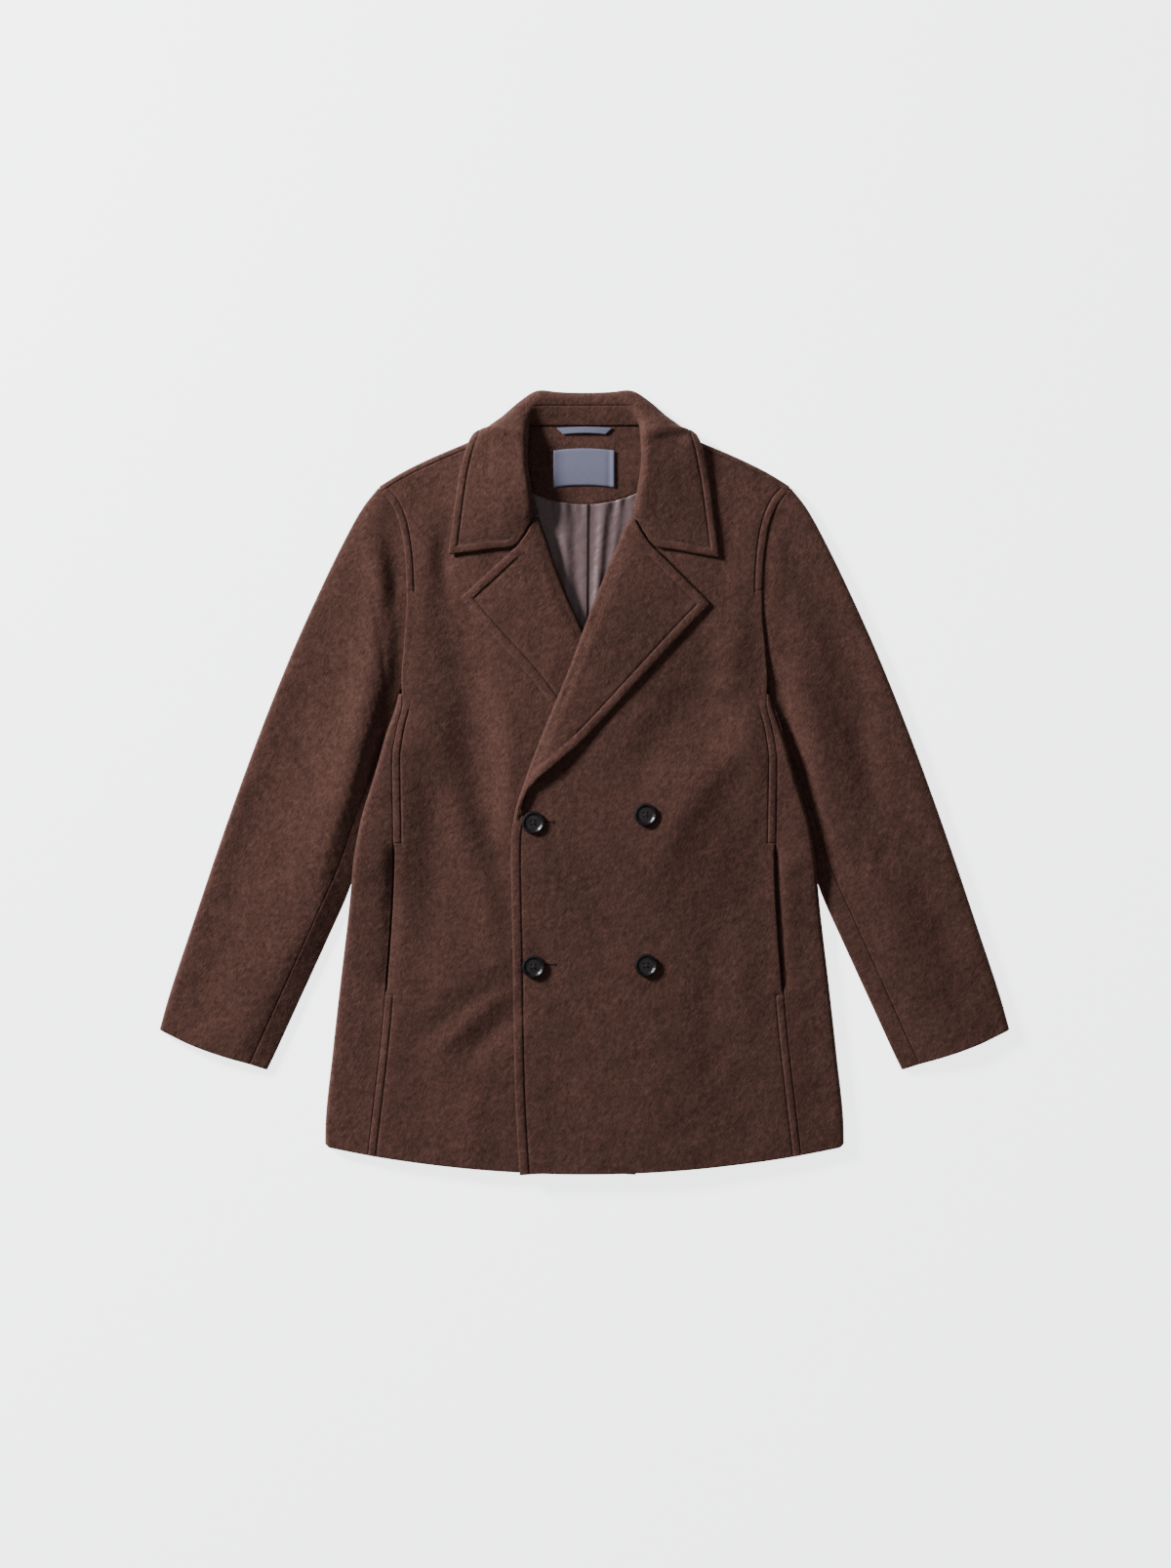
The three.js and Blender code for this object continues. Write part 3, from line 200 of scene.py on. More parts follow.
COLLAR = [
    [(0, 391, 8.2), (0, 405, 10.2), (0, 417, 11.2), (0, 424.5, 9.6),
     (0, 427.8, 5.6), (0, 423.5, 1.1), (0, 405, 0), (0, 346, 0)],
    [(30, 391, 8.2), (30, 405, 10.3), (30.3, 417.5, 11.4), (30.6, 425.5, 9.8),
     (31, 428.8, 5.7), (31.5, 424, 1.1), (32.5, 404, 0), (35, 346, 0)],
    [(52, 391.2, 8.4), (50, 404, 11.5), (49.6, 417, 13.2), (50.5, 426, 11.5),
     (52, 429.8, 6.5), (54.5, 425, 1.3), (60, 400, 0), (68, 348, 0)],
    [(60, 390.8, 8.8), (57, 400, 13), (59, 409.5, 15.6), (65, 417, 13.8),
     (69.5, 419.5, 7.8), (70.5, 413, 2), (76, 394, 0), (88, 353, 0)],
    [(62.5, 386, 9), (59.5, 393, 13.4), (64, 400, 17.4), (79, 403.4, 16.6),
     (91.6, 400.6, 9), (93.4, 393, 2.2), (97, 382.4, 0), (103, 362, 0)],
    [(64, 380, 9.4), (60.5, 385, 14), (65, 391, 18.2), (86, 395.4, 18.2),
     (104.8, 391, 10.2), (108.4, 386.2, 3), (111.5, 380.5, 0.3), (113, 373.5, 0)],
    [(64.6, 373.5, 9.6), (61, 376.5, 14.4), (65.5, 381, 18.8), (88, 386.5, 19.2),
     (106, 388.2, 16.4), (114.5, 386.8, 11.6), (118.5, 384.4, 8.4), (121, 382.4, 5.8)],
    [(65.2, 366, 9.8), (61.5, 367.5, 14.6), (65.6, 370), (86, 374.5),
     (104, 377), (115, 377.5, 17.6), (121.5, 376.8, 16.2), (126.5, 375.6, 14.6)],
    [(65.5, 350, 10.2), (61.6, 350, 14.6), (65.4, 349), (86, 347),
     (104, 345.5), (117, 344), (125, 343), (131.5, 342)],
    [(62, 323, 10.5), (57.6, 322, 14.6), (61, 320), (84, 316),
     (105, 312.5), (120, 310), (129.5, 308), (137, 306.5)],
    [(59.5, 306, 10), (54.2, 304.5, 14.4), (57.8, 301), (80, 292),
     (103, 284.5), (120, 280), (132, 277), (141, 275)],
    [(56.4, 294.6, 10.2), (51.3, 293.8, 14.2), (55.6, 289.8), (65.5, 273.5),
     (77, 259), (100, 256), (123, 253), (144.5, 251)],
]

# Folds and creases. A sleeve's folds are placed by shares of its length and width, and the lining's
# by their x at its top and at its lower edge.
BodyFold = namedtuple("BodyFold", "x y turn along across height")
SleeveFold = namedtuple("SleeveFold", "down share along across height")
LiningFold = namedtuple("LiningFold", "top low width height")
BODY_FOLDS = [BodyFold(*row) for row in [
    (-112, -246, 32, 62, 19, -3.4), (-120, -210, 34, 70, 24, 2), (-172, 262, 100, 55, 20, -2.2),
    (166, 268, 82, 50, 20, -2), (-118, -20, 98, 120, 34, -2.4), (160, -100, 84, 110, 32, -1.5),
    (118, 4, 48, 80, 30, 2), (-190, -330, 96, 80, 26, -1.6), (176, -320, 84, 90, 28, -1.8),
]]
SLEEVE_FOLDS = [SleeveFold(*row) for row in [
    (0.2, 0.88, 0.13, 0.14, -4), (0.42, 0.3, 0.2, 0.16, -2.2), (0.62, 0.62, 0.2, 0.18, 1.8),
    (0.8, 0.3, 0.16, 0.16, -1.6),
]]
LINING_FOLDS = [LiningFold(*row) for row in [
    (-50, -46, 6, 1.4), (-22, -24, 8, 2.4), (22, 12, 6, 2.6), (40, 24, 5, 1.1), (58, 40, 7, 0.9),
]]
CREASE_POINTS, CREASE_FORM = 33, 0.7
CREASES = [
    crease(25, -5.8, (-138, 232), (-132, 165), (-126, 88), (-116, 12), (-103, -52), (-91, -112)),
    crease(12, 3.2, (-176, 312), (-177, 250), (-182, 200), (-187, 150), (-198, 80)),
    crease(11, -3.2, (-151, 308), (-150, 270), (-154, 232), (-146, 190)),
    crease(11, 1.8, (-196, 30), (-198, -70), (-201, -160), (-206, -250)),
    crease(14, -2.2, (-168, 40), (-166, -50), (-166, -120), (-172, -190)),
    crease(15, 3.2, (-146, 0), (-126, -60), (-107, -130), (-98, -200)),
    crease(12, 2.2, (-84, 80), (-83, 0), (-84, -100)),
    crease(11, 4.4, (-68, -219), (-120, -255), (-168, -302)),
    crease(12, -3.4, (-63, -245), (-98, -274), (-134, -308)),
    crease(20, -1.4, (-200, -250), (-176, -320), (-160, -400)),
    crease(16, 1.2, (-120, -340), (-124, -390), (-122, -440)),
    crease(21, 4, (218, 108), (174, 50), (132, -4), (98, -54), (76, -118)),
    crease(34, 4.6, (236, 190), (208, 80), (186, 10), (162, -60), (140, -150)),
    crease(22, -2.6, (116, 112), (98, 71), (71, 28), (46, -19)),
    crease(22, 4.4, (186, 330), (190, 262), (184, 200), (172, 140), (150, 80)),
    crease(9, -2, (181, 268), (176, 225), (172, 190)),
    crease(18, -1.6, (128, 150), (132, 100), (118, 50)),
    crease(15, -1.8, (140, -148), (137, -260), (142, -380)),
    crease(14, 1.5, (174, -150), (176, -240), (184, -330)),
    crease(10, 1.2, (206, -60), (210, -150), (214, -240)),
    crease(18, -2.6, (-224, -120), (-230, -230), (-236, -380)),
    crease(22, -1.4, (-14, -70), (20, -130), (34, -200)),
    crease(22, -1.1, (-34, -240), (-22, -330), (-28, -410)),
    crease(20, 1.0, (70, -250), (80, -330), (72, -420)),
]
RIGHT_SLEEVE_CREASES = [
    crease(19, 5, (224, 220), (227, 109), (240, 66), (253, 23), (265, -20), (279, -73), (291, -137),
           (324, -201), (358, -262), (384, -318)),
    crease(23, 3.6, (232, 262), (231, 160), (240, 80), (254, 20), (268, -50)),
    crease(11, -3, (215, 302), (207, 262), (203, 225), (206, 186)),
    crease(14, 4.4, (236, 298), (230, 246), (228, 205)),
    crease(6, 1.4, (226, 318), (235, 285), (236, 262), (238, 235), (246, 196)),
    crease(16, -1.6, (296, 120), (330, 40), (366, -60), (396, -150)),
    crease(9, -1, (300, 40), (320, 26), (345, 30)),
    crease(10, -1, (316, -70), (340, -92), (378, -84)),
]
LEFT_SLEEVE_CREASES = [
    crease(20, -4.6, (256, 300), (270, 240), (286, 180), (300, 120), (310, 60), (316, 0), (320, -60)),
    crease(11, 1.6, (214, 296), (208, 250), (208, 200)),
    crease(13, 2.2, (228, 160), (248, 80), (262, 6), (278, -70)),
    crease(15, 1.6, (300, 130), (324, 50), (344, -20)),
    crease(20, 1.4, (320, -80), (352, -160), (384, -240)),
    crease(10, -1, (292, -60), (318, -80), (356, -70)),
    crease(10, -0.9, (360, -150), (384, -166), (416, -160)),
]

# The neck: facing, lining, label and loop
FACING_ARCH, FACING_SPAN = 13, 59
PLEAT_HEIGHT, PLEAT_RISES, PLEAT_DROPS = 1.4, (-14, 0), (4.6, 3.2)
GATHER_HEIGHT, GATHER_PITCH, GATHERS = 0.35, 1.9, (0.88, 1)
LINING_NARROWS, LINING_LOOSE = 0.62, 0.4
LABEL_HALF, LABEL_HIGH, LABEL_BOW, LABEL_LOOSE = 33.7, 20.3, 2.4, 0.15
LABEL_X, LABEL_Y = -0.5, 345.9
LABEL_TURN, TURN_HEIGHT, TURN_LINE, TURN_DIP, TURN_WIDTH = (28.5, 32.5), 0.7, 27.5, 0.4, 2.4
LOOP_LOW, LOOP_HALF, LOOP_SEAM_HALF = 381.2, 22.8, 30.6
LOOP_IN, LOOP_SAG, LOOP_PUFF = 1.5, 1.4, 1.1
POCKET_PAST, POCKET_BEHIND, POCKET_ROOM = 8, (-14, 10), 0.7
BUTTONHOLES = [("upper", -46, -33.6, -43.4), ("lower", -47, -31.4, -199.8)]  # name, from x, to x, y


# Numbers and curves
def mix(a, b, k):
    return a + (b - a) * k


def ease(k):
    c = np.clip(k, 0.0, 1.0)
    return c * c * (3 - 2 * c)


def ramp(value, start, end):
    """0 at the start of a range and 1 at its end, and smooth between."""
    return ease((value - start) / (end - start))


def step(value, at, width):
    """0 before a place and 1 after it, smooth over a width about it."""
    return ease((value - at) / width + 0.5)


def run_along(line):
    """How far each point of a line is from its start."""
    return np.concatenate([[0], np.cumsum(np.linalg.norm(np.diff(line, axis=0), axis=1))])


def unit(v):
    return v / np.maximum(np.linalg.norm(v, axis=-1, keepdims=True), 1e-9)


def point_at(place, run, line):
    """The points of a line at places along its run."""
    return np.stack([np.interp(place, run, line[:, c]) for c in range(3)], axis=-1)


def read(rows, key, at):
    """A column of a table, read smoothly and without overshoot along its first column."""
    by = next(iter(rows.values()))
    values = rows[key]
    slopes = np.diff(values) / np.diff(by)
    before, after = slopes[:-1], slopes[1:]
    both = before * after
    inner = np.where(both > 0, 2 * both / np.where(both > 0, before + after, 1), 0)
    tangents = np.concatenate([slopes[:1], inner, slopes[-1:]])
    at = np.clip(at, by[0], by[-1])
    i = np.clip(np.searchsorted(by, at, side="right") - 1, 0, len(by) - 2)
    width = by[i + 1] - by[i]
    k = (at - by[i]) / width
    bend = k * k * (3 - 2 * k)
    return mix(values[i], values[i + 1], bend) + width * k * (1 - k) * (
        (1 - k) * tangents[i] - k * tangents[i + 1])


def through(points, t):
    """Points of the smooth curve through `points` (n, ..., d) at shares t of its spans."""
    p = np.asarray(points, float)
    t = np.clip(np.asarray(t, float), 0, 1)
    q = np.concatenate([2 * p[:1] - p[1:2], p, 2 * p[-1:] - p[-2:-1]])
    place = t * (len(p) - 1)
    i = np.minimum(place.astype(int), len(p) - 2)
    k = (place - i).reshape(t.shape + (1,) * (p.ndim - 1))
    a, b, c, d = q[i], q[i + 1], q[i + 2], q[i + 3]

    def gap(m, n):
        return np.maximum(np.sum((m - n) ** 2, axis=-1, keepdims=True) ** 0.25, 1e-4)
    g0, g1, g2 = gap(a, b), gap(b, c), gap(c, d)
    m1 = ((b - a) / g0 - (c - a) / (g0 + g1) + (c - b) / g1) * g1
    m2 = ((c - b) / g1 - (d - b) / (g1 + g2) + (d - c) / g2) * g1
    return b + k * (m1 + k * ((-3 * b + 3 * c - 2 * m1 - m2) + k * (2 * b - 2 * c + m1 + m2)))


def curve(points):
    """A smooth plan curve through points, as a function of the share of its length."""
    p = np.array(points, float)
    t = np.linspace(0, 1, 60 * len(p))
    line = through(p, t)
    run = run_along(line)
    return lambda share: through(p, np.interp(np.clip(share, 0, 1) * run[-1], run, t))


def chain(first, second, share):
    """Two curves as one: the first takes the given share of it."""
    def both(k):
        k = np.asarray(k, float)
        late = np.maximum((k - share) / (1 - share), 0)
        return np.where((k < share)[..., None], first(np.minimum(k / share, 1)), second(late))
    return both


def moved(line, x, y):
    return lambda k: line(k) + np.array([x, y])


def patch(left, right, bottom, top):
    """A plan surface between four curves: u runs from left to right, v from bottom to top."""
    zero, one = np.zeros(()), np.ones(())

    def at(u, v):
        u, v = np.broadcast_arrays(np.asarray(u, float), np.asarray(v, float))
        a, b = u[..., None], v[..., None]
        sides = left(v) * (1 - a) + right(v) * a
        ends = bottom(u) * (1 - b) + top(u) * b
        low = left(zero) * (1 - a) + right(zero) * a
        high = left(one) * (1 - a) + right(one) * a
        return sides + ends - low * (1 - b) - high * b
    return at


def plane(x, y):
    return np.stack(np.broadcast_arrays(x, y), axis=-1).astype(float)


def space(x, y, z):
    return np.stack(np.broadcast_arrays(x, y, z), axis=-1).astype(float)


# Heights
def shoulder_line(x):
    return read(SHOULDER, "y", np.abs(x))


def shoulder_seam(x):
    return shoulder_line(x) - FOLD_RADIUS - SHOULDER_SEAM


def hem_line(x):
    return HEM_LOW + HEM_RISE * (x / HALF_HEM) ** 2


def neck_lift(x, y):
    return NECK_LIFT * ramp(y, *NECK_RISES) * ramp(np.abs(x), *NECK_ENDS)


def body_edge(y):
    """The folded side: its x, and the heights of its upper and its under face."""
    under = ON_SLEEVE * read(BODY_EDGE, "raised", y)
    return read(BODY_EDGE, "x", y), FOLD + under + read(BODY_EDGE, "proud", y), under


def folds_at(folds, x, y):
    total = np.zeros(np.broadcast(x, y).shape)
    for fold in folds:
        c, s = math.cos(math.radians(fold.turn)), math.sin(math.radians(fold.turn))
        a = (x - fold.x) * c + (y - fold.y) * s
        b = (y - fold.y) * c - (x - fold.x) * s
        total = total + fold.height * np.exp(-((a / fold.along) ** 2) - (b / fold.across) ** 2)
    return total


def creases_at(creases, x, y):
    x, y = np.broadcast_arrays(np.asarray(x, float), np.asarray(y, float))
    total = np.zeros(x.shape)
    for made in creases:
        line = through(made["path"], np.linspace(0, 1, CREASE_POINTS))
        gaps = (x[..., None] - line[:, 0]) ** 2 + (y[..., None] - line[:, 1]) ** 2
        nearest = np.argmin(gaps, axis=-1)
        gap = np.take_along_axis(gaps, nearest[..., None], axis=-1)[..., 0]
        ends = np.sin(np.pi * np.clip(nearest / (CREASE_POINTS - 1), 0.02, 0.98)) ** CREASE_FORM
        total += made["height"] * ends * np.exp(-gap / made["width"] ** 2)
    return total


def held_by_buttons(x, y):
    """How free the cloth is: 0 under a button, 1 away from it."""
    free = 1.0
    for bx, by in BUTTONS:
        free = free * (1 - np.exp(-((x - bx) ** 2 + (y - by) ** 2) / BUTTON_HOLD ** 2))
    return free


def front_height(x, y):
    edge, upper, _ = body_edge(y)
    inset = edge - np.abs(x)
    down = shoulder_line(x) - y
    flat = ramp(inset, *FREE_OF_SIDE) * ramp(down, *FREE_OF_SHOULDER)
    full = ramp(down, *CHEST_RISES) * mix(HEM_FULL, 1, ramp(y - HEM_LOW, *HEM_RISES))
    middle = mix(FOLD, MIDDLE, full)
    folds = folds_at(BODY_FOLDS, x, y) + creases_at(CREASES, x, y) * held_by_buttons(x, y)
    return mix(upper, middle, ramp(inset, *SIDE_RISES)) + neck_lift(x, y) + folds * flat


def back_height(x, y):
    edge, _, under = body_edge(y)
    return under * (1 - ramp(edge - np.abs(x), *SLEEVE_UNDER)) + neck_lift(x, y)


RIGHT_REACH = table("y x", [(y, -x) for x, y in FRONT["right"]["edge"] + FRONT["right"]["roll"]])


def left_front_height(x, y):
    near = 1 - ramp(x - read(RIGHT_REACH, "x", y), *OVERLAP_FADES)
    over_lapel = ramp(y, *LAPEL_UNDER_STARTS) * (1 - ramp(y, *LAPEL_UNDER_ENDS))
    over_front = near * (1 - ramp(y, *OVERLAP_ENDS))
    return front_height(x, y) + over_front * (OVERLAP + UNDER_LAPEL * over_lapel)


# Meshes
def normals(rows):
    across = np.gradient(rows, axis=1)
    along = np.gradient(rows, axis=0)
    return unit(np.cross(across, along))


def distances(rows):
    """How far each point of a grid is from the edges, along its row and its column."""
    across = np.linalg.norm(np.diff(rows, axis=1), axis=2)
    along = np.linalg.norm(np.diff(rows, axis=0), axis=2)
    left = np.pad(np.cumsum(across, axis=1), ((0, 0), (1, 0)))
    low = np.pad(np.cumsum(along, axis=0), ((1, 0), (0, 0)))
    return {"left": left, "right": left[:, -1:] - left, "low": low, "high": low[-1:] - low}


def corner_rounded(rows, sides, radius):
    """The grid with the corner between two of its edges rounded in plan."""
    far = distances(rows)
    a, b = (np.clip(radius - far[side], 0, None) for side in sides)
    square, circle = np.maximum(a, b), np.hypot(a, b)
    shrink = np.where((a > 0) & (b > 0), 1 - square / np.maximum(circle, 1e-9), 0)
    moved_rows = rows.copy()
    for side, reach in zip(sides, (a, b)):
        axis = 1 if side in ("left", "right") else 0
        inwards = unit(np.gradient(rows, axis=axis)) * (1 if side in ("left", "low") else -1)
        moved_rows += inwards * (reach * shrink)[..., None]
    return moved_rows


class Shell:
    """A wall of cloth from its outer face (rows, columns, 3) and the direction of its inner face."""

    def __init__(self, rows, thickness, inward=None, joined=0):
        self.rows = rows
        self.inward = normals(rows) if inward is None else np.broadcast_to(inward, rows.shape)
        self.thickness = thickness
        self.joined = joined
        self.far = distances(rows)
        self.lift = np.zeros(rows.shape[:2])
        self.tuck = np.zeros(rows.shape[:2])

    def nearest(self, sides):
        return np.min([self.far[side] for side in sides], axis=0)

    def rounded(self, *sides, reach=1.5):
        """Rounds the wall's edges over, on both faces: those named, or all four."""
        k = np.clip(1 - self.nearest(sides or tuple(self.far)) / reach, 0, 1)
        drop = EDGE_SHARE * self.thickness * (1 - np.sqrt(1 - k * k))
        self.lift -= drop
        self.tuck += drop
        return self

    def band(self, *sides, width=9.0, puff=0.8, groove=0.7, where=1.0):
        """A puffed edge, held down by a row of stitches."""
        d = self.nearest(sides)
        across = np.sin(np.pi * np.clip(d / width, 0, 1)) ** PUFF_FORM
        self.lift += where * (puff * across - groove * np.exp(-((d - width) / GROOVE_WIDTH) ** 2))
        return self

    def bare(self, side, columns):
        """Keeps the band of an edge off some of its columns."""
        self.far[side] = self.far[side] + np.where(columns, OUT_OF_REACH, 0.0)[None, :]

    def face(self):
        return self.rows - self.inward * self.lift[..., None]

    def line(self, side, distance, cut=(0, 0)):
        """The line on the outer face at a distance from an edge, cut short at its ends."""
        face, far = self.face(), self.far[side]
        if side in ("low", "high"):
            face, far = np.swapaxes(face, 0, 1), far.T
        if side in ("right", "high"):
            face, far = face[:, ::-1], far[:, ::-1]
        line = np.array([point_at(distance, f, row) for f, row in zip(far, face)])
        run = run_along(line)
        return line[(run >= cut[0]) & (run <= run[-1] - cut[1])]

    def mesh(self):
        high, wide = self.rows.shape[:2]
        outer = self.face().reshape(-1, 3)
        inner = (self.rows + self.inward * (self.thickness - self.tuck)[..., None]).reshape(-1, 3)
        outer[:, 2] = np.maximum(outer[:, 2], 0)
        inner[:, 2] = np.maximum(inner[:, 2], 0)
        number = np.arange(high * wide).reshape(high, wide)
        back = number + high * wide
        quads = [
            np.stack([number[:-1, :-1], number[:-1, 1:], number[1:, 1:], number[1:, :-1]], -1).reshape(-1, 4),
            np.stack([back[:-1, :-1], back[1:, :-1], back[1:, 1:], back[:-1, 1:]], -1).reshape(-1, 4),
        ]
        first = np.stack([number[:-1, 0], number[1:, 0], back[1:, 0], back[:-1, 0]], -1)[self.joined:]
        last = np.stack([number[:-1, -1], back[:-1, -1], back[1:, -1], number[1:, -1]], -1)
        low = np.stack([number[0, :-1], back[0, :-1], back[0, 1:], number[0, 1:]], -1)
        top = np.stack([number[-1, :-1], number[-1, 1:], back[-1, 1:], back[-1, :-1]], -1)
        return np.concatenate([outer, inner]), np.concatenate([*quads, first, last, low, top])


def put(name, vertices, faces, material, weld=False):
    mesh = bpy.data.meshes.new(name)
    mesh.from_pydata((vertices * MM).tolist(), [], faces.tolist())
    mesh.validate()
    work = bmesh.new()
    work.from_mesh(mesh)
    if weld:
        bmesh.ops.remove_doubles(work, verts=work.verts, dist=1e-7)
    bmesh.ops.recalc_face_normals(work, faces=work.faces)
    work.to_mesh(mesh)
    work.free()
    mesh.polygons.foreach_set("use_smooth", [True] * len(mesh.polygons))
    piece = bpy.data.objects.new(name, mesh)
    bpy.context.scene.collection.objects.link(piece)
    mesh.materials.append(material)
    return piece


def spread(near, far, middle, lengths):
    """Shares across rows of the given lengths: at set distances from either edge, and evenly between."""
    length = np.asarray(lengths, float)[:, None]
    start = np.array(near)[None, :] / length
    end = 1 - np.array(far)[None, ::-1] / length
    k = np.linspace(0, 1, middle + 2)[1:-1][None, :]
    return np.concatenate([start, mix(start[:, -1:], end[:, :1], k), end], axis=1)


# Where the points of a grid are, in from an edge
STITCHED = (0, 0.15, 0.5, 1, 1.8, 3, 4.6, 6.2, 7.3, 8, 8.5, 9, 9.5, 10, 10.7, 11.8, 13.5, 17)
PLAIN = (0, 0.15, 0.5, 1, 1.8, 3.5, 7)
FINE = (0, 0.35, 1, 2.2, 4.5)
AT_STAND = (12, 17, 20, 21, 21.5, 22, 22.5, 23, 24, 27)
HALF_TURN = np.linspace(0, 1, 9)


def lengthwise(count, length, near=PLAIN, far=PLAIN):
    return spread(near, far, count, [length])[0]


def at_pocket(y, fade):
    """1 along a pocket's mouth, 0 past its ends."""
    return ease((y - POCKET_LOW) / fade) * ease((POCKET_HIGH - y) / fade)


def front_plan(shape):
    roll = np.array(shape["roll"], float)
    ahead = unit(np.concatenate([roll[1:], roll[-1:]]) - np.concatenate([roll[:1], roll[:-1]]))
    away = roll + (ROLL + ROLL_CLEAR) * np.stack([ahead[:, 1], -ahead[:, 0]], axis=1)
    inner = chain(curve(shape["edge"]), curve([*map(tuple, away), *NECKLINE]), FRONT_EDGE_SHARE)

    def side_seam(k):
        y = mix(hem_line(SIDE_SEAM_HEM), SIDE_TOP, k)
        return plane(read(SIDE_SEAM, "front", y) - SEAM / 2 - POCKET_MOUTH * at_pocket(y, MOUTH_FADE), y)
    outer = chain(side_seam, moved(curve(ARMHOLE), -SEAM, 0), FRONT_SEAM_SHARE)
    top_ends = inner(1.0)[0], outer(1.0)[0]
    low_ends = inner(0.0), outer(0.0)

    def shoulder(u):
        x = mix(*top_ends, u)
        return plane(x, shoulder_seam(x) - SEAM / 2)

    def hem(u):
        x = mix(low_ends[0][0], low_ends[1][0], u)
        return plane(x, np.minimum(hem_line(x), mix(low_ends[0][1], low_ends[1][1], u)))
    return patch(inner, outer, hem, shoulder)


ARMHOLE_TACK = 210.5
TACKS = (POCKET_LOW, POCKET_HIGH, ARMHOLE_TACK)
TACK_DEPTH, TACK_WIDTH = 0.8, 0.8
NEAR_TACK = (-2.4, -1.5, -0.8, 0, 0.8, 1.5, 2.4)


def with_tacks(plan, v):
    """The same shares with more of them where a bar tack crosses the seam."""
    fine = np.linspace(0, 1, 900)
    y = plan(1.0, fine)[:, 1]
    more = [np.interp(tack + by, y, fine) for tack in TACKS for by in NEAR_TACK]
    return np.unique(np.concatenate([v, more]))


def front_rows(shape, height, side):
    plan = front_plan(shape)
    v = with_tacks(plan, lengthwise(150, 800))
    widths = np.linalg.norm(plan(1.0, v) - plan(0.0, v), axis=1)
    u = spread(STITCHED, STITCHED, 34, widths)
    p = plan(u, v[:, None])
    x = side * p[..., 0]
    return space(x, p[..., 1], height(x, p[..., 1]))


def pocket_dip(x, y):
    """How far the cloth behind a pocket's mouth sinks."""
    across = np.exp(-(((x - read(SIDE_SEAM, "front", y)) / DIP_WIDTH) ** 2))
    return POCKET_DIP * at_pocket(y, DIP_FADE) * across


def side_panel_rows(side):
    armhole = curve(BACK_ARMHOLE)
    v = lengthwise(120, 490)[:, None]
    columns = [("upper", k) for k in lengthwise(6, 44, PLAIN, (0,))]
    columns += [("fold", k) for k in HALF_TURN[1:-1]]
    columns += [("under", k) for k in lengthwise(8, 66, (0,), FINE)]
    hems = {"upper": (SIDE_SEAM_HEM, HALF_HEM), "fold": (HALF_HEM, HALF_HEM),
            "under": (HALF_HEM, BACK_SEAM_HEM)}
    rows, inward = [], []
    for part, k in columns:
        on = armhole(k * BACK_ARMHOLE_SIDE)
        top = on[1] - 2 * SEAM if part == "under" else SIDE_TOP + SIDE_UNDER
        corner = HEM_CORNER * math.sin(math.pi * k) if part == "fold" else 0
        y = mix(hem_line(mix(*hems[part], k)) + corner, top, v)
        edge, upper, under = body_edge(y)
        flat_x = edge - FOLD_RADIUS
        if part == "upper":
            x = mix(np.minimum(read(SIDE_SEAM, "front", y) + SEAM / 2, flat_x - 0.5), flat_x, k)
            p = space(x, y, mix(front_height(side * x, y), upper, k) - pocket_dip(x, y))
            direction = DOWN
        elif part == "fold":
            out, up = math.sin(math.pi * k), math.cos(math.pi * k)
            p = space(flat_x + FOLD_RADIUS * out, y, under + FOLD_RADIUS * (1 + up))
            direction = [-out, 0, -up]
        else:
            seam = read(SIDE_SEAM, "back", y) + 2 * SEAM
            x = mix(mix(flat_x, seam, k), on[0], ramp(v, 0.9, 1))
            p = space(x, y, back_height(x, y))
            direction = UP
        rows.append(p)
        inward.append(np.broadcast_to(direction, p.shape))
    flip = np.array([side, 1, 1])
    return np.concatenate(rows, axis=1) * flip, np.concatenate(inward, axis=1) * flip


def back_rows():
    """Half the back, from the hem up and over the shoulder, and the row where it leaves the middle."""
    def middle(k):
        return plane(0, mix(HEM_LOW, NECK_SEAM, k))

    def neck(k):
        return plane(NECK_POINT * k, NECK_SEAM)

    def side_seam(k):
        y = mix(hem_line(BACK_SEAM_HEM), BACK_SIDE_TOP, k)
        return plane(read(SIDE_SEAM, "back", y) - SEAM / 2, y)
    armhole = curve(BACK_ARMHOLE)
    above_side = moved(lambda k: armhole(mix(BACK_ARMHOLE_SIDE, 1, k)), -SEAM, 0)
    inner = chain(middle, neck, BACK_NECK_SHARE)
    outer = chain(side_seam, above_side, BACK_ARM_SHARE)
    reach, low = outer(1.0)[0], outer(0.0)[0]

    def shoulder(u):
        x = mix(NECK_POINT, reach, u)
        return plane(x, shoulder_line(x) - FOLD_RADIUS)

    def hem(u):
        return plane(low * u, hem_line(low * u))
    plan = patch(inner, outer, hem, shoulder)
    to_neck = lengthwise(110, 800, PLAIN, (0,)) * BACK_NECK_SHARE
    v = np.concatenate([to_neck, mix(BACK_NECK_SHARE, 1, np.linspace(0, 1, 25)[1:])])
    widths = np.linalg.norm(plan(1.0, v) - plan(0.0, v), axis=1)
    p = plan(spread(FINE, (*FINE, 9), 30, widths), v[:, None])
    rows = [space(p[..., 0], p[..., 1], back_height(p[..., 0], p[..., 1]))]
    inward = [np.broadcast_to(UP, rows[0].shape)]
    x, y = p[-1, :, 0], p[-1, :, 1]
    lift = back_height(x, y)
    for k in HALF_TURN[1:]:
        out, up = math.sin(math.pi * k), math.cos(math.pi * k)
        row = space(x, y, lift + FOLD_RADIUS * (1 - up)) + SHOULDER_SQUARE * FOLD_RADIUS * out
        rows.append(row[None])
        inward.append(np.broadcast_to(SHOULDER_SQUARE * -out + [0, 0, up], rows[-1].shape))
    turned = rows[-1]
    seam = space(x, shoulder_seam(x) + SEAM / 2, lift + FOLD)
    for k in (0.3, 0.6, 0.85, 1.0):
        rows.append(mix(turned, seam, k))
        inward.append(np.broadcast_to(DOWN, turned.shape))
    return np.concatenate(rows), np.concatenate(inward), len(to_neck) - 1


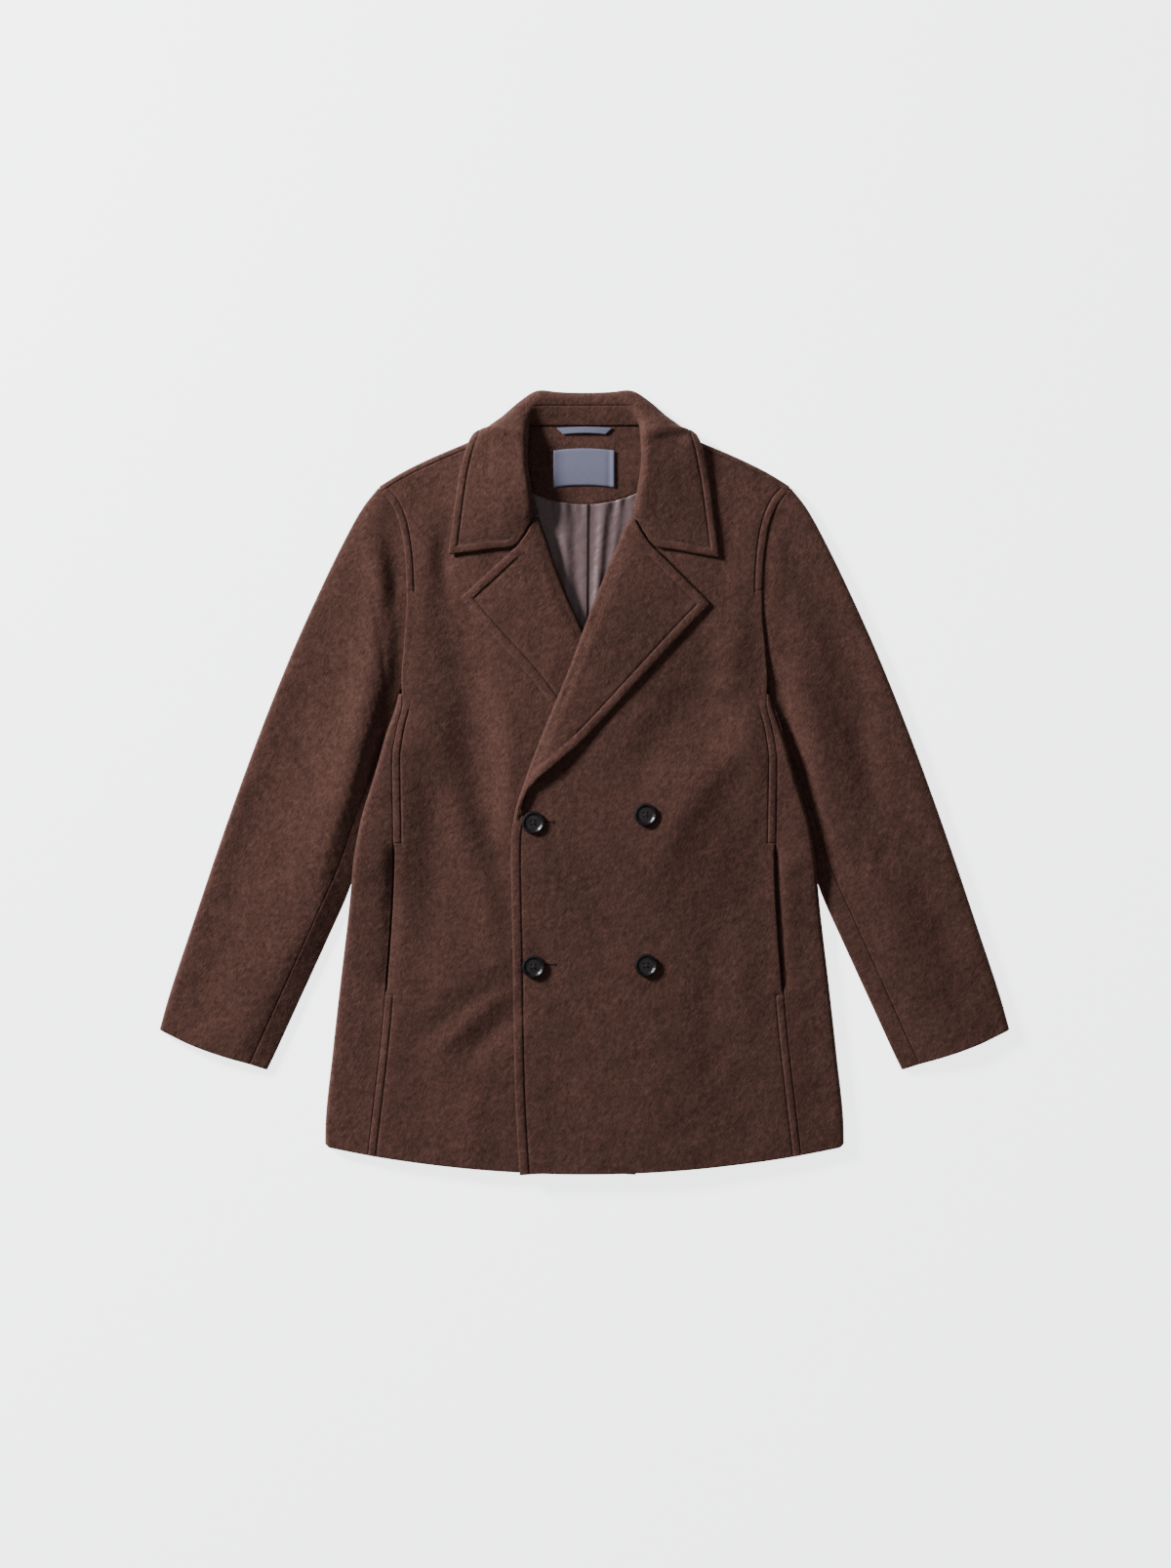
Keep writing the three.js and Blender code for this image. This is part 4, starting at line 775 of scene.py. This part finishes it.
def sleeve_rings(creases, sunk):
    """The sleeve's lines: on its upper and its under face, and round its outer and its inner fold."""
    outer, inner = curve(SLEEVE_OUTER), curve(SLEEVE_INNER)
    front, back, cuff = curve(ARMHOLE[::-1]), curve(BACK_ARMHOLE[::-1]), curve(CUFF)
    tip, underarm = outer(0.0), inner(0.0)

    def drawn(line):
        ends = tip - line(0.0), underarm - line(1.0)
        return lambda k: (line(k) + ends[0] * ((1 - np.asarray(k)) ** TIP_HOLD)[..., None]
                          + ends[1] * (np.asarray(k) ** UNDERARM_HOLD)[..., None])
    upper_plan = patch(outer, inner, drawn(front), cuff)
    under_plan = patch(outer, inner, drawn(back), cuff)
    s = lengthwise(110, 600)

    def height(u, p):
        folds = sum(f.height * np.exp(-(((s - f.down) / f.along) ** 2) - ((u - f.share) / f.across) ** 2)
                    for f in SLEEVE_FOLDS) + creases_at(creases, p[:, 0], p[:, 1])
        flat = ramp(u, *FOLDS_OUTER) * ramp(u, *FOLDS_INNER) * ramp(s, *FOLDS_BEGIN)
        widthways = ramp(u, *CROWN_OUTER) * ramp(u, *CROWN_INNER)
        crown = SLEEVE_CROWN * mix(CROWN_AT_TOP, 1, ramp(s, *CROWN_RISES))
        crown = crown - sunk * ramp(s, *SINK_ALONG) * ramp(u, *SINK_ACROSS)
        return mix(FOLD, INNER_FOLD, u) + widthways * crown + folds * flat

    def fold(at_outer, k):
        u = 0.0 if at_outer else 1.0
        edge = upper_plan(u, s)
        radius = (FOLD if at_outer else INNER_FOLD) / 2
        inwards = unit(upper_plan(0.12 if at_outer else 0.88, s) - edge)
        out, up = math.sin(math.pi * k), math.cos(math.pi * k)
        p = edge + inwards * radius * (1 - out)
        direction = space(inwards[:, 0] * out, inwards[:, 1] * out, -up)
        return space(p[:, 0], p[:, 1], radius * (1 + up)), direction
    last = len(SLEEVE_LINES["n"]) - 1
    upper, under = [fold(True, 0)], [fold(True, 1)]
    for n in range(1, last):
        u = mix(SLEEVE_LINES["armhole"][n], SLEEVE_LINES["cuff"][n], ramp(s, *LINES_MEET))
        p, q = upper_plan(u, s), under_plan(u, s)
        upper.append((space(p[:, 0], p[:, 1], height(u, p)), np.broadcast_to(DOWN, (len(s), 3))))
        under.append((space(q[:, 0], q[:, 1], 0), np.broadcast_to(UP, (len(s), 3))))
    upper.append(fold(False, 0))
    under.append(fold(False, 1))
    round_outer = [fold(True, k) for k in (0.75, 0.5, 0.25)]
    round_inner = [fold(False, k) for k in (0.25, 0.5, 0.75)]
    return upper, under, round_outer, round_inner


def refined(columns, count):
    """Rows with `count` columns on the smooth curves through the given lines, tucked in at the top."""
    points = np.stack([p for p, _ in columns])
    inward = np.stack([direction for _, direction in columns])
    t = spread(PLAIN, PLAIN, count, [SLEEVE_GIRTH])[0]
    rows = np.swapaxes(through(points, t), 0, 1)
    rows[..., 2] = np.maximum(rows[..., 2], 0)
    spans = np.linspace(0, 1, len(columns))
    turned = unit(np.stack([point_at(t, spans, inward[:, r]) for r in range(len(rows))]))
    away = unit(unit(rows[0] - rows[3]) + [TUCK_SLANT, 0, 0])
    tucked = [rows[0] + away * TUCK_OUT * math.sin(k) + turned[0] * TUCK_DOWN * (1 - math.cos(k))
              for k in TUCK_TURNS]
    return np.concatenate([tucked, rows]), np.concatenate([turned[:1]] * len(tucked) + [turned])


def trimmed(rows, by):
    """The rows with both of their ends drawn in."""
    rows = rows.copy()
    for end, nxt in ((0, 1), (-1, -2)):
        rows[:, end] += unit(rows[:, nxt] - rows[:, end]) * by
    return rows


def stand_off(share):
    """How high a leaf's face is over the front, at a share of its width from the roll."""
    return ON_FRONT + LEAF_LIFT * ramp(share, *LEAF_LIFTS)


def lapel_rows(shape, height, side):
    """The leaf from its free edge to the roll, the roll, and what is folded in under the front."""
    roll, free = curve(shape["tail"][:1] + shape["roll"]), curve(shape["tail"][1:] + shape["free"])

    def inside(v, by):
        """The roll line, moved in towards the leaf."""
        k = mix(LAPEL_START, LAPEL_END, np.asarray(v, float))
        d = unit(roll(np.minimum(1, k + 0.02)) - roll(np.maximum(0, k - 0.02)))
        return roll(k) + np.stack([d[..., 1], -d[..., 0]], axis=-1) * by

    def inset(v):
        return inside(v, ROLL)
    notch = shape["notch"]
    at_notch = (notch[0] - NOTCH_GAP[0], notch[1] - NOTCH_GAP[1])
    seam = curve([tuple(inset(1.0)), (GORGE[0], GORGE[1] - SEAM), at_notch])
    low = inset(0.0), free(0.0)

    def bottom(u):
        return low[0] + (low[1] - low[0]) * np.asarray(u)[..., None]
    plan = patch(inset, free, bottom, chain(seam, curve([notch, shape["tip"]]), GORGE_SHARE))
    v = lengthwise(90, 340, PLAIN, STITCHED)
    up = v[:, None]
    widths = np.maximum(np.linalg.norm(plan(1.0, v) - plan(0.0, v), axis=1), 5)
    u = 1 - spread(STITCHED, (0,), 16, np.maximum(widths, LAPEL_WIDE))
    p = plan(u, up)
    x = side * p[..., 0]
    off = stand_off(u * ease((up - shape["shows"]) / LEAF_SHOWS))
    off = off * mix(FLAT_AT_BREAK, 1, ramp(up, *LEAF_RISES))
    off = off + BREAK_LIFT * u * ramp(up, *BREAK_RISES) * (1 - ramp(up, *BREAK_ENDS))
    leaf = space(x, p[..., 1], height(x, p[..., 1]) + off)
    inner_face = leaf[:, -1:, 2] - 2 * ROLL
    by_roll = 1 - ease(distances(leaf)["right"] / ROLL_WIDTH)
    leaf[..., 2] -= ROLL_DROP * by_roll * ramp(up, *DROP_BEGINS)
    face = leaf[:, -1:, 2]
    turned = []
    for k in HALF_TURN[1:]:
        q = inside(v, ROLL * (1 - math.sin(math.pi * k)))
        z = mix(face, inner_face, (1 - math.cos(math.pi * k)) / 2)
        turned.append(space(side * q[:, :1], q[:, 1:], z))
    q = inside(v, ROLL + LAPEL_INSIDE)
    turned.append(space(side * q[:, :1], q[:, 1:], inner_face))
    rows = np.concatenate([leaf, *turned], axis=1)
    return rows if side > 0 else rows[:, ::-1]


def collar_rows():
    half = []
    for n, section in enumerate(COLLAR):
        settled = 1 if n >= LEAF_SECTION else STILL_TURNING
        half.append([(x, y, z[0] if z else float(front_height(x, y) + stand_off(i / 7 * settled)))
                     for i, (x, y, *z) in enumerate(section)])
    half = np.array(half, float)
    dome = DOME_ALONG[:, None] * DOME_ACROSS[None, :]
    half[:, :, 2] += COLLAR_DOME * dome
    half[LEAF_SECTION:, OUTER_COLUMN:, 0] += LEAF_WIDER * WIDER_SHARES
    whole = np.concatenate([half[:0:-1] * [-1, 1, 1], half])
    whole[:len(half) - 1, :, 2] += RIGHT_DOME * dome[:0:-1]
    whole[:len(half) - LEAF_SECTION, OUTER_COLUMN:, 0] -= RIGHT_WIDER * WIDER_SHARES
    for end, longer in ((0, RIGHT_POINT), (-1, LEFT_POINT)):
        whole[end, OUTER_COLUMN:, 1] -= longer * POINT_SHARES
    v = lengthwise(190, 800, STITCHED, STITCHED)
    lines = np.stack([through(whole[:, i], v) for i in range(whole.shape[1])])
    spans = np.linspace(0, 1, 400)
    fine = through(lines, spans)
    runs = np.stack([run_along(fine[:, j]) for j in range(len(v))], axis=1)
    shares = spread((*PLAIN, *AT_STAND), STITCHED, 28, runs[-1])
    return np.array([through(lines[:, j], np.interp(share * runs[-1, j], runs[:, j], spans))
                     for j, share in enumerate(shares)])


def on_back(x, y):
    return neck_lift(x, y) + CLOTH + BED


def facing_height(x, y):
    return on_back(x, y) + CLOTH


def facing_line(x):
    return FACING_LOW + FACING_ARCH * (x / FACING_SPAN) ** 2


def facing_rows():
    x = np.linspace(-FACING_HALF, FACING_HALF, 60)[None, :]
    y = mix(facing_line(x), NECK_SEAM, lengthwise(24, 84)[:, None])
    return space(x, y, facing_height(x, y))


def lining_rows():
    x = np.linspace(-LINING_HALF, LINING_HALF, 157)[None, :]
    v = np.linspace(0, 1, 80)[:, None]
    y = mix(LINING_LOW, facing_line(x) - SEAM, v)
    pleat = PLEAT_HEIGHT * ramp(x, *PLEAT_RISES) * ramp(x, *PLEAT_DROPS)
    folds = sum(f.height * np.exp(-(((x - mix(f.low, f.top, v)) / f.width) ** 2)) for f in LINING_FOLDS)
    gathers = GATHER_HEIGHT * np.sin(x / GATHER_PITCH) * ramp(v, *GATHERS)
    z = on_back(x, y) + LINING + LINING_LOOSE + np.maximum(pleat + folds + gathers, 0)
    return space(x * mix(LINING_NARROWS, 1, v), y, z)


def label_rows():
    x = np.linspace(-LABEL_HALF, LABEL_HALF, 36)[None, :]
    up = np.linspace(-LABEL_HIGH, LABEL_HIGH, 22)[:, None]
    y = LABEL_Y + up - LABEL_BOW * (x / LABEL_HALF) ** 2
    line = TURN_DIP * np.exp(-(((x - TURN_LINE) / TURN_WIDTH) ** 2))
    turned = TURN_HEIGHT * ramp(x, *LABEL_TURN) - line
    return space(x + LABEL_X, y, facing_height(x, y) + BED + SATIN + LABEL_LOOSE + turned)


def loop_rows():
    v = np.linspace(0, 1, 10)[:, None]
    k = np.linspace(-1, 1, 40)[None, :]
    x = k * mix(LOOP_HALF, LOOP_SEAM_HALF, v)
    y = mix(LOOP_LOW, NECK_SEAM - LOOP_IN, v) + LOOP_SAG * (1 - k * k)
    return space(x, y, facing_height(x, y) + BED + SATIN * 2 + LOOP_PUFF * (1 - k * k))


def pocket_rows(side):
    y = np.linspace(POCKET_LOW - POCKET_PAST, POCKET_HIGH + POCKET_PAST, 60)[:, None]
    x = read(SIDE_SEAM, "front", y) + np.linspace(*POCKET_BEHIND, 12)[None, :]
    return space(side * x, y, front_height(side * x, y) - CLOTH - POCKET_ROOM - pocket_dip(x, y))


# Threads
def stitches(name, lines, look=None, pitch=3.4, length=2.5, radius=0.24, across=False):
    """Short rounded stitches along lines that lie on the cloth."""
    ring = np.linspace(0, 2 * np.pi, 7)[:-1]
    along = np.array([-1, -0.8, 0, 0.8, 1]) * length / 2
    thick = np.array([0.25, 0.85, 1, 0.85, 0.25]) * radius
    sunk = np.array([-0.45, -0.08, 0.06, -0.08, -0.45])
    a, b = np.meshgrid(np.arange(len(along) - 1) * len(ring), np.arange(len(ring)), indexing="ij")
    c = (b + 1) % len(ring)
    tube = np.stack([a + b, a + c, a + len(ring) + c, a + len(ring) + b], axis=-1).reshape(-1, 4)
    vertices, faces = [], []
    for line in lines:
        run = run_along(line)
        places = np.arange(pitch / 2, run[-1], pitch)
        centre = point_at(places, run, line)
        tangent = unit(point_at(places + 0.5, run, line) - centre + [1e-9, 0, 0])
        side = unit(np.cross(UP, tangent))
        if across:
            tangent, side = side, tangent
        up = np.cross(tangent, side)
        for c, t, w, u in zip(centre, tangent, side, up):
            circle = np.outer(np.cos(ring), w) + np.outer(np.sin(ring), u)
            rings = [c + t * a + u * z + circle * r for a, r, z in zip(along, thick, sunk)]
            faces.append(tube + len(vertices) * len(along) * len(ring))
            vertices.append(np.concatenate(rings))
    piece = put(name, np.concatenate(vertices), np.concatenate(faces), look or THREAD)
    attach(piece, "root")


# Materials
class Look:
    """A procedural material, built from noise in the object's own space."""

    def __init__(self, name, roughness, shine=0.1):
        self.material = bpy.data.materials.new(name)
        self.material.use_nodes = True
        self.tree = self.material.node_tree
        self.shader = self.tree.nodes["Principled BSDF"]
        self.shader.inputs["Roughness"].default_value = roughness
        self.shader.inputs["Specular IOR Level"].default_value = shine
        self.place = self.tree.nodes.new("ShaderNodeTexCoord").outputs["Object"]

    def node(self, kind, **values):
        made = self.tree.nodes.new(kind)
        for key, value in values.items():
            setattr(made, key, value)
        return made

    def link(self, a, b):
        self.tree.links.new(a, b)

    def noise(self, size, detail=2.0, stretch=None, turn=0.0):
        """Noise whose features are about `size` metres, stretched along a direction."""
        mapping = self.node("ShaderNodeMapping", vector_type="TEXTURE")
        mapping.inputs["Rotation"].default_value = (0, 0, math.radians(turn))
        wide = stretch or 1
        mapping.inputs["Scale"].default_value = (size * wide, size, size)
        self.link(self.place, mapping.inputs["Vector"])
        noise = self.node("ShaderNodeTexNoise")
        noise.inputs["Scale"].default_value = 1
        noise.inputs["Detail"].default_value = detail
        self.link(mapping.outputs["Vector"], noise.inputs["Vector"])
        return noise.outputs["Fac"]

    def ranged(self, value, low, high, start=0.3, end=0.7):
        made = self.node("ShaderNodeMapRange")
        made.inputs["From Min"].default_value = start
        made.inputs["From Max"].default_value = end
        made.inputs["To Min"].default_value = low
        made.inputs["To Max"].default_value = high
        self.link(value, made.inputs["Value"])
        return made.outputs["Result"]

    def product(self, *values):
        total = values[0]
        for value in values[1:]:
            made = self.node("ShaderNodeMath", operation="MULTIPLY")
            self.link(total, made.inputs[0])
            self.link(value, made.inputs[1])
            total = made.outputs[0]
        return total

    def colour(self, dark, light, factor):
        mixed = self.node("ShaderNodeMix", data_type="RGBA")
        mixed.inputs["A"].default_value = (*dark, 1)
        mixed.inputs["B"].default_value = (*light, 1)
        self.link(factor, mixed.inputs["Factor"])
        self.link(mixed.outputs["Result"], self.shader.inputs["Base Color"])

    def bump(self, heights):
        """Bumps one over another: pairs of a height and its depth in metres."""
        normal = None
        for height, depth in heights:
            made = self.node("ShaderNodeBump")
            made.inputs["Distance"].default_value = depth
            self.link(height, made.inputs["Height"])
            if normal is not None:
                self.link(normal, made.inputs["Normal"])
            normal = made.outputs["Normal"]
        self.link(normal, self.shader.inputs["Normal"])

    def sheen(self, weight, roughness, tint):
        self.shader.inputs["Sheen Weight"].default_value = weight
        self.shader.inputs["Sheen Roughness"].default_value = roughness
        self.shader.inputs["Sheen Tint"].default_value = (*tint, 1)


WOOL_DARK, WOOL_LIGHT = (0.018, 0.0076, 0.0057), (0.1, 0.047, 0.0375)


def wool():
    look = Look("wool", 0.95)
    patches = look.noise(0.024, 3)
    flecks = look.noise(0.006, 3)
    nap = look.noise(0.0013, 2, stretch=3.2, turn=56)
    fuzz = look.noise(0.0009, 2)
    shades = [(patches, 0.9, 1.09), (flecks, 0.86, 1.13), (nap, 0.72, 1.3), (fuzz, 0.84, 1.16)]
    tone = look.product(*[look.ranged(*shade) for shade in shades])
    look.colour(WOOL_DARK, WOOL_LIGHT, look.ranged(tone, 0, 1, 0.4, 1.7))
    look.bump([(look.noise(0.022, 2), 0.0016), (flecks, 0.0007), (nap, 0.0004), (fuzz, 0.0002)])
    look.sheen(0.05, 0.5, (0.9, 0.66, 0.55))
    return look.material


def plain(name, colour, roughness, wave=0.0, sheen=0.0):
    """A fine weave in one colour, with waves of a height in metres."""
    look = Look(name, roughness, 0.3)
    weave = look.noise(0.0006, 2, stretch=4)
    dark = tuple(0.86 * c for c in colour)
    look.colour(dark, colour, look.ranged(weave, 0, 1))
    look.bump([(look.noise(0.012, 2), wave), (weave, 0.00004)])
    look.sheen(sheen, 0.4, (1, 1, 1))
    return look.material


def horn():
    look = Look("horn", 0.34, 0.25)
    cloud = look.noise(0.004, 3, stretch=2)
    look.colour((0.003, 0.0027, 0.0034), (0.012, 0.0095, 0.011), look.ranged(cloud, 0, 1))
    look.bump([(look.noise(0.0012, 2), 0.00002)])
    look.shader.inputs["Coat Weight"].default_value = 0.08
    look.shader.inputs["Coat Roughness"].default_value = 0.15
    return look.material


LOOKS = {"wool": wool()}
THREAD = plain("thread", (0.03, 0.014, 0.011), 0.8)
LOOKS["lining"] = plain("lining", (0.104, 0.066, 0.07), 0.45, 0.0012, 0.15)
LOOKS["satin"] = plain("satin", (0.128, 0.13, 0.19), 0.38, 0.0002, 0.1)
EYELET = plain("eyelet", (0.008, 0.005, 0.004), 0.9)
HORN = horn()


# Pieces
def cloth(name, shell, slot, area=None):
    settle(put(f"{name}_cloth", *shell.mesh(), LOOKS[slot]), name, area)


def settle(piece, node, area):
    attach(piece, "root")
    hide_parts(node)


def front(name, shape, height, side, area):
    shell = Shell(front_rows(shape, height, side), CLOTH, DOWN).rounded(reach=BODY_ROUND)
    y = shell.rows[..., 1]
    shell.band("left", width=EDGE_BAND, puff=0.7, where=1 - ramp(y, *EDGE_BAND_ENDS))
    pocket = step(y, POCKET_LOW, 1.4) * (1 - step(y, POCKET_HIGH, 1.4))
    seam = (1 - ramp(y, *SEAM_BAND_ENDS)) * (1 - pocket)
    shell.band("right", width=BAND, puff=0.55, where=np.maximum(step(y, ARMHOLE_TACK, 1.2), seam))
    inside = ease((BAND + TACK_WIDTH - shell.far["right"]) / 1.2)
    for tack in TACKS:
        shell.lift -= TACK_DEPTH * inside * np.exp(-((y - tack) / TACK_WIDTH) ** 2)
    cloth(name, shell, "wool", area)
    edge, by_seam, outer = shell.line("left", EDGE_BAND), shell.line("right", 0.8), shell.line("right", BAND)
    lines = [edge[(edge[:, 1] < -52) & (edge[:, 1] > -428)]]
    y = outer[:, 1]
    for low, high in ((-406, POCKET_LOW), (POCKET_HIGH, 76), (ARMHOLE_TACK, 312)):
        lines.append(outer[(y > low) & (y < high)])
    stitches(f"{name}_stitches", lines)
    bars = [np.array([point_at(tack, line[:, 1], line) for line in (by_seam, outer)]) for tack in TACKS]
    stitches(f"{name}_tacks", bars, pitch=0.62, length=1.5, radius=0.3, across=True)


def lapel(name, shape, height, side, area):
    free = "left" if side > 0 else "right"
    rows = corner_rounded(lapel_rows(shape, height, side), (free, "high"), CORNER_RADIUS)
    shell = Shell(rows, LEAF)
    shell.rounded("left", "right", "low", reach=LEAF_ROUND).rounded("high", reach=LEAF_ROUND)
    notch_x, notch_y = shape["notch"]
    nearest = np.argmin(np.linalg.norm(rows[-1, :, :2] - [side * notch_x, notch_y], axis=1))
    from_free = shell.far[free][-1]
    shell.bare("high", from_free >= from_free[nearest])
    shell.band(free, "high", width=EDGE_BAND, puff=0.9, where=ease(shell.far["low"] / 30))
    cloth(name, shell, "wool", area)
    edge, top = shell.line(free, EDGE_BAND, cut=(34, EDGE_BAND)), shell.line("high", EDGE_BAND)
    x = side * top[:, 0]
    top = top[(x > notch_x - 6) & (x < side * edge[-1, 0] - 1)]
    stitches(f"{name}_stitches", [edge, top] if len(top) > 3 else [edge])


def collar():
    rows = collar_rows()
    for end in ("low", "high"):
        rows = corner_rounded(rows, ("right", end), CORNER_RADIUS)
    shell = Shell(rows, LEAF).rounded(reach=LEAF_ROUND)
    for side, row in (("low", rows[0]), ("high", rows[-1])):
        notch = [math.copysign(COLLAR_NOTCH[0], row[-1, 0]), COLLAR_NOTCH[1]]
        nearest = np.argmin(np.linalg.norm(row[:, :2] - notch, axis=1))
        shell.bare(side, np.arange(len(row)) < nearest)
    shell.band("right", "low", "high", width=COLLAR_BAND, puff=0.7)
    middle = 1 - ramp(np.abs(rows[..., 0]), *STAND_ENDS)
    shell.lift -= STAND_GROOVE * middle * np.exp(-((shell.far["left"] - STAND_LINE) / 0.9) ** 2)
    cloth("collar", shell, "wool", 0.043)
    rim = shell.line("right", COLLAR_BAND, cut=(BAND, BAND))
    lines = [rim[side * rim[:, 0] > 112] for side in (-1, 1)]
    for side in ("low", "high"):
        end = shell.line(side, COLLAR_BAND)
        lines.append(end[(np.abs(end[:, 0]) > 79) & (np.abs(end[:, 0]) < 133)])
    stand = shell.line("left", STAND_LINE)
    lines.append(stand[np.abs(stand[:, 0]) < 50])
    stitches("collar_stitches", lines)


def back():
    rows, inward, joined = back_rows()
    vertices, faces = [], []
    for side in (1, -1):
        flip = np.array([side, 1, 1])
        shell = Shell(rows * flip, CLOTH, inward * flip, joined).rounded("right", "low", "high")
        points, quads = shell.mesh()
        faces.append(quads + len(points) * len(vertices))
        vertices.append(points)
    piece = put("back_cloth", np.concatenate(vertices), np.concatenate(faces), LOOKS["wool"], weld=True)
    settle(piece, "back", 0.32)


def sides():
    for name, side, creases, sunk in (("left", 1, LEFT_SLEEVE_CREASES, -0.4),
                                      ("right", -1, RIGHT_SLEEVE_CREASES, 1.6)):
        rows, inward = side_panel_rows(side)
        cloth(f"side_panel_{name}", Shell(rows, CLOTH, inward).rounded(), "wool", 0.0488)
        upper, under, round_outer, round_inner = sleeve_rings(creases, sunk)
        top_lines = under[HINDARM_LINE::-1] + round_outer + upper[:FOREARM_LINE + 1]
        under_lines = upper[FOREARM_LINE:] + round_inner + under[:HINDARM_LINE - 1:-1]
        flip = np.array([side, 1, 1])
        for part, lines, count, flat, area in (("top", top_lines, 46, (0.2, 0.68), 0.102),
                                               ("under", under_lines, 36, (0.14, 0.55), 0.055)):
            rows, inward = refined(lines, count)
            shell = Shell(trimmed(rows, SEAM / 2) * flip, CLOTH, inward * flip).rounded()
            cloth(f"{part}_sleeve_{name}", shell, "wool", area)
        cloth(f"pocket_facing_{name}", Shell(pocket_rows(side), POCKET_CLOTH, DOWN), "wool")


def neck():
    cloth("back_facing", Shell(facing_rows(), CLOTH, DOWN).rounded("low"), "wool", 0.0115)
    cloth("lining", Shell(lining_rows(), LINING, DOWN), "lining", 0.027)
    cloth("label", Shell(label_rows(), SATIN, DOWN).rounded(reach=0.5), "satin")
    loop = Shell(loop_rows(), SATIN * 2, DOWN).rounded("low", reach=0.8)
    cloth("hanger_loop", loop, "satin", 0.0005)


def buttonholes():
    for name, start, end, y in BUTTONHOLES:
        x = np.linspace(start, end, 12)
        slit = space(x, y, left_front_height(x, y) + 0.05)
        bar = space(end, y + np.linspace(-1.6, 1.6, 8), 0)
        bar[:, 2] = left_front_height(bar[:, 0], bar[:, 1]) + 0.08
        stitches(f"buttonhole_{name}", [slit, bar], EYELET, pitch=0.55, length=1.5, radius=0.3, across=True)


def buttons():
    """The buttons' own solids get their material, and a cross of thread in the dish."""
    for name in ("upper_left", "upper_right", "lower_left", "lower_right"):
        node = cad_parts[f"button_{name}"]
        node.data.materials.clear()
        node.data.materials.append(HORN)
        corners = np.array([node.matrix_world @ Vector(corner) for corner in node.bound_box]) / MM
        low, high = corners.min(axis=0), corners.max(axis=0)
        middle = np.array([*(low + high)[:2] / 2, high[2] - BUTTON_DISH])
        bars = []
        for turn in THREAD_TURNS:
            reach = np.array([math.cos(turn), math.sin(turn), 0]) * THREAD_REACH
            bars.append(np.array([middle - reach, middle + reach]))
        stitches(f"thread_{name}", bars, pitch=5.2, length=5, radius=0.45)


front("front_left", FRONT["left"], left_front_height, 1, 0.194)
front("front_right", FRONT["right"], front_height, -1, 0.189)
lapel("lapel_left", FRONT["left"], left_front_height, 1, 0.0248)
lapel("lapel_right", FRONT["right"], front_height, -1, 0.0241)
collar()
back()
sides()
neck()
buttons()
buttonholes()


# Studio
FLOOR_COLOUR, FLOOR_GLOW, FLOOR_HALF = (0.86, 0.87, 0.88), (0.97, 0.992, 1, 1), 6
LENS, CAMERA_PLACE = 100, (0.00107, -0.0019, 4.786)


def floor():
    mesh = bpy.data.meshes.new("floor")
    corners = [(x * FLOOR_HALF, y * FLOOR_HALF, 0) for x, y in ((-1, -1), (1, -1), (1, 1), (-1, 1))]
    mesh.from_pydata(corners, [], [(0, 1, 2, 3)])
    made = bpy.data.objects.new("floor", mesh)
    bpy.context.scene.collection.objects.link(made)
    look = Look("paper", 0.9)
    look.colour(FLOOR_COLOUR, FLOOR_COLOUR, look.noise(0.5, 1))
    look.shader.inputs["Emission Color"].default_value = FLOOR_GLOW
    look.shader.inputs["Emission Strength"].default_value = 3.0
    mesh.materials.append(look.material)


def light(name, place, size, power):
    lamp = bpy.data.lights.new(name, "AREA")
    lamp.size = size
    lamp.energy = power
    made = bpy.data.objects.new(name, lamp)
    bpy.context.scene.collection.objects.link(made)
    made.location = place
    made.rotation_euler = (-Vector(place)).to_track_quat("-Z", "Y").to_euler()


floor()
light("key", place=(-3.35, 2.2, 1.58), size=0.8, power=600)
light("fill", place=(2.5, -1.5, 3.5), size=3.0, power=12)
light("top", place=(0, 0, 4.4), size=3.0, power=22)
world = bpy.data.worlds.new("world")
bpy.context.scene.world = world
world.use_nodes = True
world.node_tree.nodes["Background"].inputs["Color"].default_value = (1, 1, 1, 1)
world.node_tree.nodes["Background"].inputs["Strength"].default_value = 0.11

camera = bpy.data.objects.new("camera", bpy.data.cameras.new("camera"))
bpy.context.scene.collection.objects.link(camera)
camera.data.lens = LENS
camera.location = CAMERA_PLACE
bpy.context.scene.camera = camera
